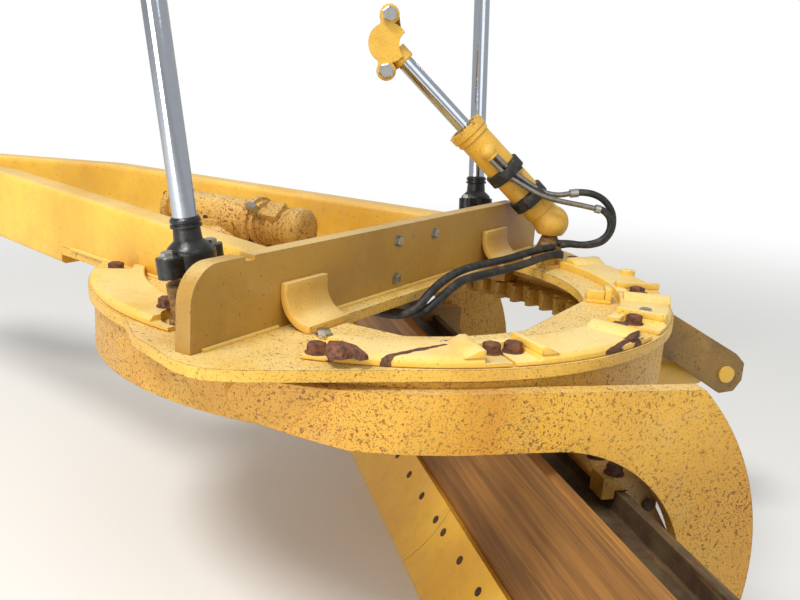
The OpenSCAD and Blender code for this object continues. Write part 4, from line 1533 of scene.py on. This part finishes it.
@dataclass
class Lines:
    """The pipes, hoses and weld beads, each along its own route."""

    shift: CentreShift
    drawbar: Drawbar
    tree: PipeTree = field(default_factory=PipeTree)
    pipe_r: float = 0.0085
    shift_hose_r: float = 0.011
    plate_hose_r: float = 0.0115
    ferrule_r: float = 0.0135
    elbow_r: float = 0.011
    bead_r: float = 0.0055
    shift_pipes: tuple[Route, ...] = (
        ((-0.010, 0.061, 0.293), (-0.014, 0.063, 0.230), (-0.030, 0.062, 0.150), (-0.045, 0.060, 0.100),
         (-0.070, 0.060, 0.065), (-0.100, 0.060, 0.042)),
        ((0.010, 0.061, 0.293), (0.006, 0.066, 0.230), (-0.012, 0.072, 0.160), (-0.030, 0.082, 0.107),
         (-0.054, 0.088, 0.063), (-0.098, 0.091, 0.0), (-0.125, 0.093, -0.040)))
    shift_hoses: tuple[Route, ...] = (
        ((-0.100, 0.060, 0.042), (-0.130, 0.060, 0.019), (-0.155, 0.062, -0.015), (-0.165, 0.064, -0.055),
         (-0.155, 0.065, -0.100), (-0.122, 0.065, -0.135), (-0.080, 0.064, -0.145), (-0.045, 0.063, -0.130),
         (-0.020, 0.062, -0.108), (0.005, 0.060, -0.078), (0.033, 0.058, -0.050)),
        ((-0.125, 0.093, -0.040), (-0.1385, 0.094, -0.060), (-0.140, 0.095, -0.090), (-0.125, 0.095, -0.115),
         (-0.098, 0.095, -0.130), (-0.065, 0.093, -0.128), (-0.035, 0.092, -0.112), (-0.012, 0.091, -0.092),
         (0.008, 0.090, -0.070), (0.030, 0.089, -0.054)))
    plate_hoses: tuple[Route, ...] = (
        ((-0.272, -0.565, 0.063), (-0.265, -0.540, 0.063), (-0.250, -0.480, 0.060), (-0.238, -0.400, 0.055),
         (-0.225, -0.310, 0.051), (-0.208, -0.220, 0.049), (-0.197, -0.130, 0.048), (-0.192, -0.050, 0.042),
         (-0.188, 0.015, 0.028), (-0.182, 0.065, 0.005), (-0.168, 0.098, -0.028), (-0.138, 0.115, -0.050),
         (-0.090, 0.122, -0.057), (-0.020, 0.122, -0.057), (0.050, 0.122, -0.057), (0.080, 0.122, -0.055),
         (0.092, 0.122, -0.045), (0.092, 0.122, -0.025)),
        ((-0.300, -0.570, 0.045), (-0.283, -0.540, 0.042), (-0.276, -0.470, 0.042), (-0.276, -0.380, 0.042),
         (-0.270, -0.300, 0.040), (-0.256, -0.210, 0.038), (-0.236, -0.120, 0.034), (-0.218, -0.060, 0.028),
         (-0.210, -0.005, 0.012), (-0.200, 0.040, -0.012), (-0.180, 0.075, -0.038), (-0.145, 0.088, -0.052),
         (-0.095, 0.092, -0.057), (-0.020, 0.092, -0.057), (0.050, 0.092, -0.057), (0.080, 0.092, -0.055),
         (0.092, 0.092, -0.045), (0.092, 0.092, -0.025)))
    elbow: tuple[Route, ...] = (
        ((0.392, 0.104, 0.138), (0.392, 0.112, 0.158), (0.386, 0.124, 0.170), (0.366, 0.138, 0.172),
         (0.340, 0.150, 0.166)),)

    def routes(self, rows: Sequence[Sequence[Point]], place: Matrix) -> list[list[Vector]]:
        """The rows' points in the row frame."""
        return [[place @ Vector(point) for point in row] for row in rows]

    def hoses(self) -> None:
        """Lays the pipes and hoses."""
        line = self.shift.line()
        ends = tuple((row[0], tuple(a + (b - a) * 0.7 for a, b in zip(row[0], row[1])))
                     for row in self.shift_hoses)
        for name, finish, body, slot, rows, place, radius in (
                ("pipes_steel", Finish.WORN_STEEL, "centre_shift", "worn_steel", self.shift_pipes, line,
                 self.pipe_r),
                ("hoses_shift", Finish.RUBBER, "centre_shift", "black_paint", self.shift_hoses, line,
                 self.shift_hose_r),
                ("hoses_plate", Finish.RUBBER, "drawbar", "black_paint", self.plate_hoses, YOKE,
                 self.plate_hose_r),
                ("ferrules_shift", Finish.STEEL, "centre_shift", "worn_steel", ends, line, self.ferrule_r),
                ("elbow_motor", Finish.STEEL, "drawbar", "worn_steel", self.elbow, YOKE, self.elbow_r)):
            self.tree.lay(Label(name, finish, body, slot), self.routes(rows, place), radius)

    def welds(self) -> None:
        """Lays the beads along the beams' feet and the cross plate."""
        bar = self.drawbar
        back, front = -bar.cross_back - 0.001, bar.cross_front + 0.001
        beads = []
        for way in (1.0, -1.0):
            beads.append([(x, way * (bar.side_at(x) + 0.001), 0.001)
                          for x in [bar.cross_front + 0.03 * k for k in range(31)]])
            beads.append([(back, way * (0.585 + 0.03 * k), 0.002) for k in range(9)])
            beads.append([(back, way * (0.03 * k), 0.002) for k in range(14)])
            beads.append([(front, way * 0.5285, 0.006 + 0.012 * k) for k in range(10)])
        label = on_drawbar("welds_yoke", Finish.PAINT_COVER)
        self.tree.lay(label, self.routes(beads, YOKE), self.bead_r, 8, 0.012)


@dataclass
class Fasteners:
    """Every bolt, nut, plug and bolt hole that shows."""

    lift: LiftFeet
    shift: CentreShift
    drive: CircleDrive
    tree: BoltTree = field(default_factory=BoltTree)
    rim_bolt: float = 0.0205
    pocket_r: float = 0.702
    pocket_bolts: tuple[float, ...] = (173.3, 181.7, 203.8, 209.2, 242.8, 276.2, 317.8)
    loose_bolts: tuple[Point, ...] = (
        (0.530, 0.481, 0.010), (0.148, 0.681, 0.022), (-0.275, 0.697, 0.010), (-0.542, 0.447, 0.010),
        (-0.572, 0.406, 0.010))
    edge_centre: tuple[float, float, float] = (0.155, -0.470, 0.394)
    edge_angle: float = 213.3
    edge_step: float = 0.152
    edge_middle: float = 0.150

    def stand(self, place: Matrix, at: Point, way: Point, size: float) -> Bolt:
        """A bolt written in a local frame."""
        return Bolt(place @ Vector(at), (place.to_3x3() @ Vector(way)).normalized(), size)

    def on_yoke(self) -> None:
        """Sets the bolts on the yoke: rusty ones on the covers and plated ones beside them."""
        rusty = [*self.loose_bolts]
        rusty += [(*polar(self.pocket_r, angle), 0.010) for angle in self.pocket_bolts]
        bolts = [self.stand(YOKE, at, UP, self.rim_bolt) for at in rusty]
        self.tree.set(Label("bolts_rusty", Finish.RUST, "drawbar", "rusty_steel"), bolts, 0.95, 1.15)
        plated = [self.stand(YOKE, at, UP, 0.016)
                  for at in ((-0.234, 0.616, 0.022), (-0.706, -0.100, 0.022))]
        plated += [self.stand(YOKE, (-0.089, y, z), (-1.0, 0.0, 0.0), 0.014)
                   for y, z in ((0.087, 0.134), (-0.111, 0.133), (0.087, 0.033))]
        self.tree.set(Label("bolts_plated", Finish.STEEL, "drawbar", "worn_steel"), plated)

    def on_drive(self) -> None:
        """Sets the bolts of the worm's flanges, the housing's foot and its lid."""
        drive = self.drive
        bolts = []
        for x, way in ((0.390, -1.0), (0.722, 1.0)):
            for y, z in arc((drive.worm_y, drive.worm_z), 0.067, 45, 315, 3):
                bolts.append(self.stand(YOKE, (x, y, z), (way, 0.0, 0.0), 0.0085))
        place = YOKE @ moved_by(drive.axis_x, 0.0, 0.0)
        for k in range(drive.ribs):
            turned = place @ turned_z(360.0 / drive.ribs * (k + 0.5))
            bolts.append(self.stand(turned, (0.158, 0.0, 0.026), UP, 0.011))
            bolts.append(self.stand(turned, (0.119, 0.0, 0.112), UP, 0.009))
        self.tree.set(Label("bolts_drive", Finish.RUST_DARK, "drawbar", "rusty_steel"), bolts)

    def plug(self) -> None:
        """Sets the round plug in a rear cover."""
        plug = self.stand(YOKE, (-0.522, -0.545, 0.022), UP, 0.022)
        self.tree.set(on_drawbar("plug_cover", Finish.PAINT_COVER), [plug], 0.5, 1.0, 24)

    def on_cylinders(self) -> None:
        """Sets the bolts through the sockets of the lift and centre-shift cylinders."""
        shift = self.shift
        bolts = [self.stand(shift.head(), (0.0, shift.cap_face, z), (0.0, 1.0, 0.0), 0.0245)
                 for z in (-shift.bolt_z, shift.bolt_z)]
        self.tree.set(Label("bolts_shift_socket", Finish.STEEL_BRIGHT, "centre_shift_rod", "worn_steel"),
                      bolts, 0.9, 0.86)
        for side, way in SIDES:
            line = way @ self.lift.line()
            lobes = [self.stand(line, (0.0, y, 0.018), UP, 0.016) for y in (-self.lift.lobe, self.lift.lobe)]
            self.tree.set(Label(f"bolts_socket_{side}", Finish.STEEL, f"lift_{side}", "worn_steel"), lobes)

    def on_blade(self) -> None:
        """Sets the cutting edges' bolt heads, sunk in their holes, and the slide bracket's bolts."""
        a = math.radians(self.edge_angle)
        x, z, r = self.edge_centre
        holes = []
        for k in range(11):
            for side in (-1.0, 1.0):
                y = self.edge_middle + side * self.edge_step * (k + 0.25)
                holes.append(self.stand(TURNED, (x + r * math.cos(a), y, z + r * math.sin(a)),
                                        (-math.cos(a), 0.0, -math.sin(a)), 0.0125))
        self.tree.set(Label("bolts_edge", Finish.RUST_DARK, "blade", "rusty_steel"), holes, 0.05, 1.0, 20)
        studs = [self.stand(TURNED, (x, y, z), UP, 0.019)
                 for y, z in ((0.725, -0.264), (0.640, -0.262)) for x in (-0.372, -0.440)]
        studs += [self.stand(TURNED, (x, 0.742, -0.330), (0.0, 1.0, 0.0), 0.0155) for x in (-0.405, -0.450)]
        self.tree.set(Label("bolts_bracket", Finish.RUST_DARK, "tip_frame", "rusty_steel"), studs, 1.1, 1.2)


@dataclass
class TipFrame:
    """The left slide bracket's long cap, and the lug that carries the tip cylinder."""

    cap_low: float = -0.2915
    cap_top: float = -0.262
    cap_run: tuple[float, float] = (0.560, 0.690)
    lug_inner: float = 0.062
    lug_thick: float = 0.030

    def bracket_cap(self) -> None:
        """Builds the cap that runs along the upper rail."""
        outline = [(-0.472, self.cap_low), (-0.336, self.cap_low), (-0.336, -0.276), (-0.352, self.cap_top),
                   (-0.472, self.cap_top)]
        shape = Shape().prism(outline, *self.cap_run, TURNED @ SIDEWAYS)
        shape.piece(Label("bracket_cap", Finish.PAINT_GREASY, "tip_frame", "yellow_paint"), 0.004)

    def lug(self) -> None:
        """Builds the two plates with cut corners at the circle's rear."""
        outline = [(-0.740, -0.037), (-0.800, -0.041), (-1.098, -0.199), (-1.130, -0.229), (-1.130, -0.283),
                   (-1.106, -0.319), (-1.058, -0.325), (-0.900, -0.230), (-0.740, -0.155)]
        outer = self.lug_inner + self.lug_thick
        shape = Shape()
        shape.prism(outline, self.lug_inner, outer, TURNED @ SIDEWAYS)
        shape.prism(outline, -outer, -self.lug_inner, TURNED @ SIDEWAYS)
        shape.piece(Label("lug_cut", Finish.PAINT_GREASY, "circle", "yellow_paint", ("tip_lug",)), 0.004)


@dataclass
class Group:
    """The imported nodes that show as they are, and the finish of each.

    Attributes:
        coats: Each finish, with the nodes that wear it.
    """

    frame: dict
    coats: dict[Finish, tuple[str, ...]] = field(default_factory=lambda: {
        Finish.PAINT: ("drawbar_neck", "lift_barrel_left", "lift_barrel_right", "tip_barrel"),
        # Painted shade: the cross plate wears the darker copy of the paint.
        Finish.PAINT_PAINTED_SHADE: ("cross_plate",),
        Finish.PAINT_DUSTY: ("hose_post",),
        Finish.PAINT_RING: ("circle_ring", "circle_shoes"),
        Finish.PAINT_ARM: ("arm_left", "arm_right"),
        Finish.PAINT_FRESH: ("cutting_edges", "end_bits"),
        Finish.PAINT_GREASY: ("tip_bracket_left", "tip_bracket_right", "tip_crossbar", "side_shift_barrel"),
        Finish.BLADE: ("moldboard",),
        Finish.RAIL: ("blade_rails",),
        Finish.STUD: ("shift_stud",),
        Finish.CHROME: ("lift_rod_left", "lift_rod_right", "shift_rod", "tip_rod"),
        Finish.WORN_STEEL: ("drawbar_ball", "drive_pinion", "side_shift_rod"),
        Finish.BRONZE: ("wear_ring", "slide_inserts"),
    })

    def dress(self) -> None:
        """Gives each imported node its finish."""
        for finish, names in self.coats.items():
            for name in names:
                node = self.frame["nodes"][name]
                node.data.materials.clear()
                node.data.materials.append(material(finish))
                LOG.info("%s wears %s", name, finish.value.name)


def main() -> None:
    """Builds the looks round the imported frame."""
    logging.basicConfig(level=logging.INFO, format="%(message)s")
    bpy.context.scene.view_settings.view_transform = "Standard"
    for thing in list(bpy.data.objects):
        bpy.data.objects.remove(thing)
    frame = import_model()
    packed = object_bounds()
    studio = Studio()
    studio.camera()
    studio.floor(packed[0].z)
    studio.light()
    studio.backdrop()
    Group(frame).dress()
    drawbar = Drawbar()
    drawbar.beams()
    drawbar.guards()
    drawbar.window(frame)
    covers = RimCovers()
    covers.covers()
    covers.lugs()
    covers.stump()
    drive = CircleDrive()
    drive.housing()
    drive.motor()
    lift = LiftFeet()
    lift.studs()
    lift.sockets()
    shift = CentreShift()
    shift.barrel()
    shift.cap()
    shift.clamps()
    lines = Lines(shift, drawbar)
    lines.hoses()
    lines.welds()
    fasteners = Fasteners(lift, shift, drive)
    fasteners.on_yoke()
    fasteners.on_drive()
    fasteners.plug()
    fasteners.on_cylinders()
    fasteners.on_blade()
    tip = TipFrame()
    tip.bracket_cap()
    tip.lug()


if __name__ == "__main__":
    main()
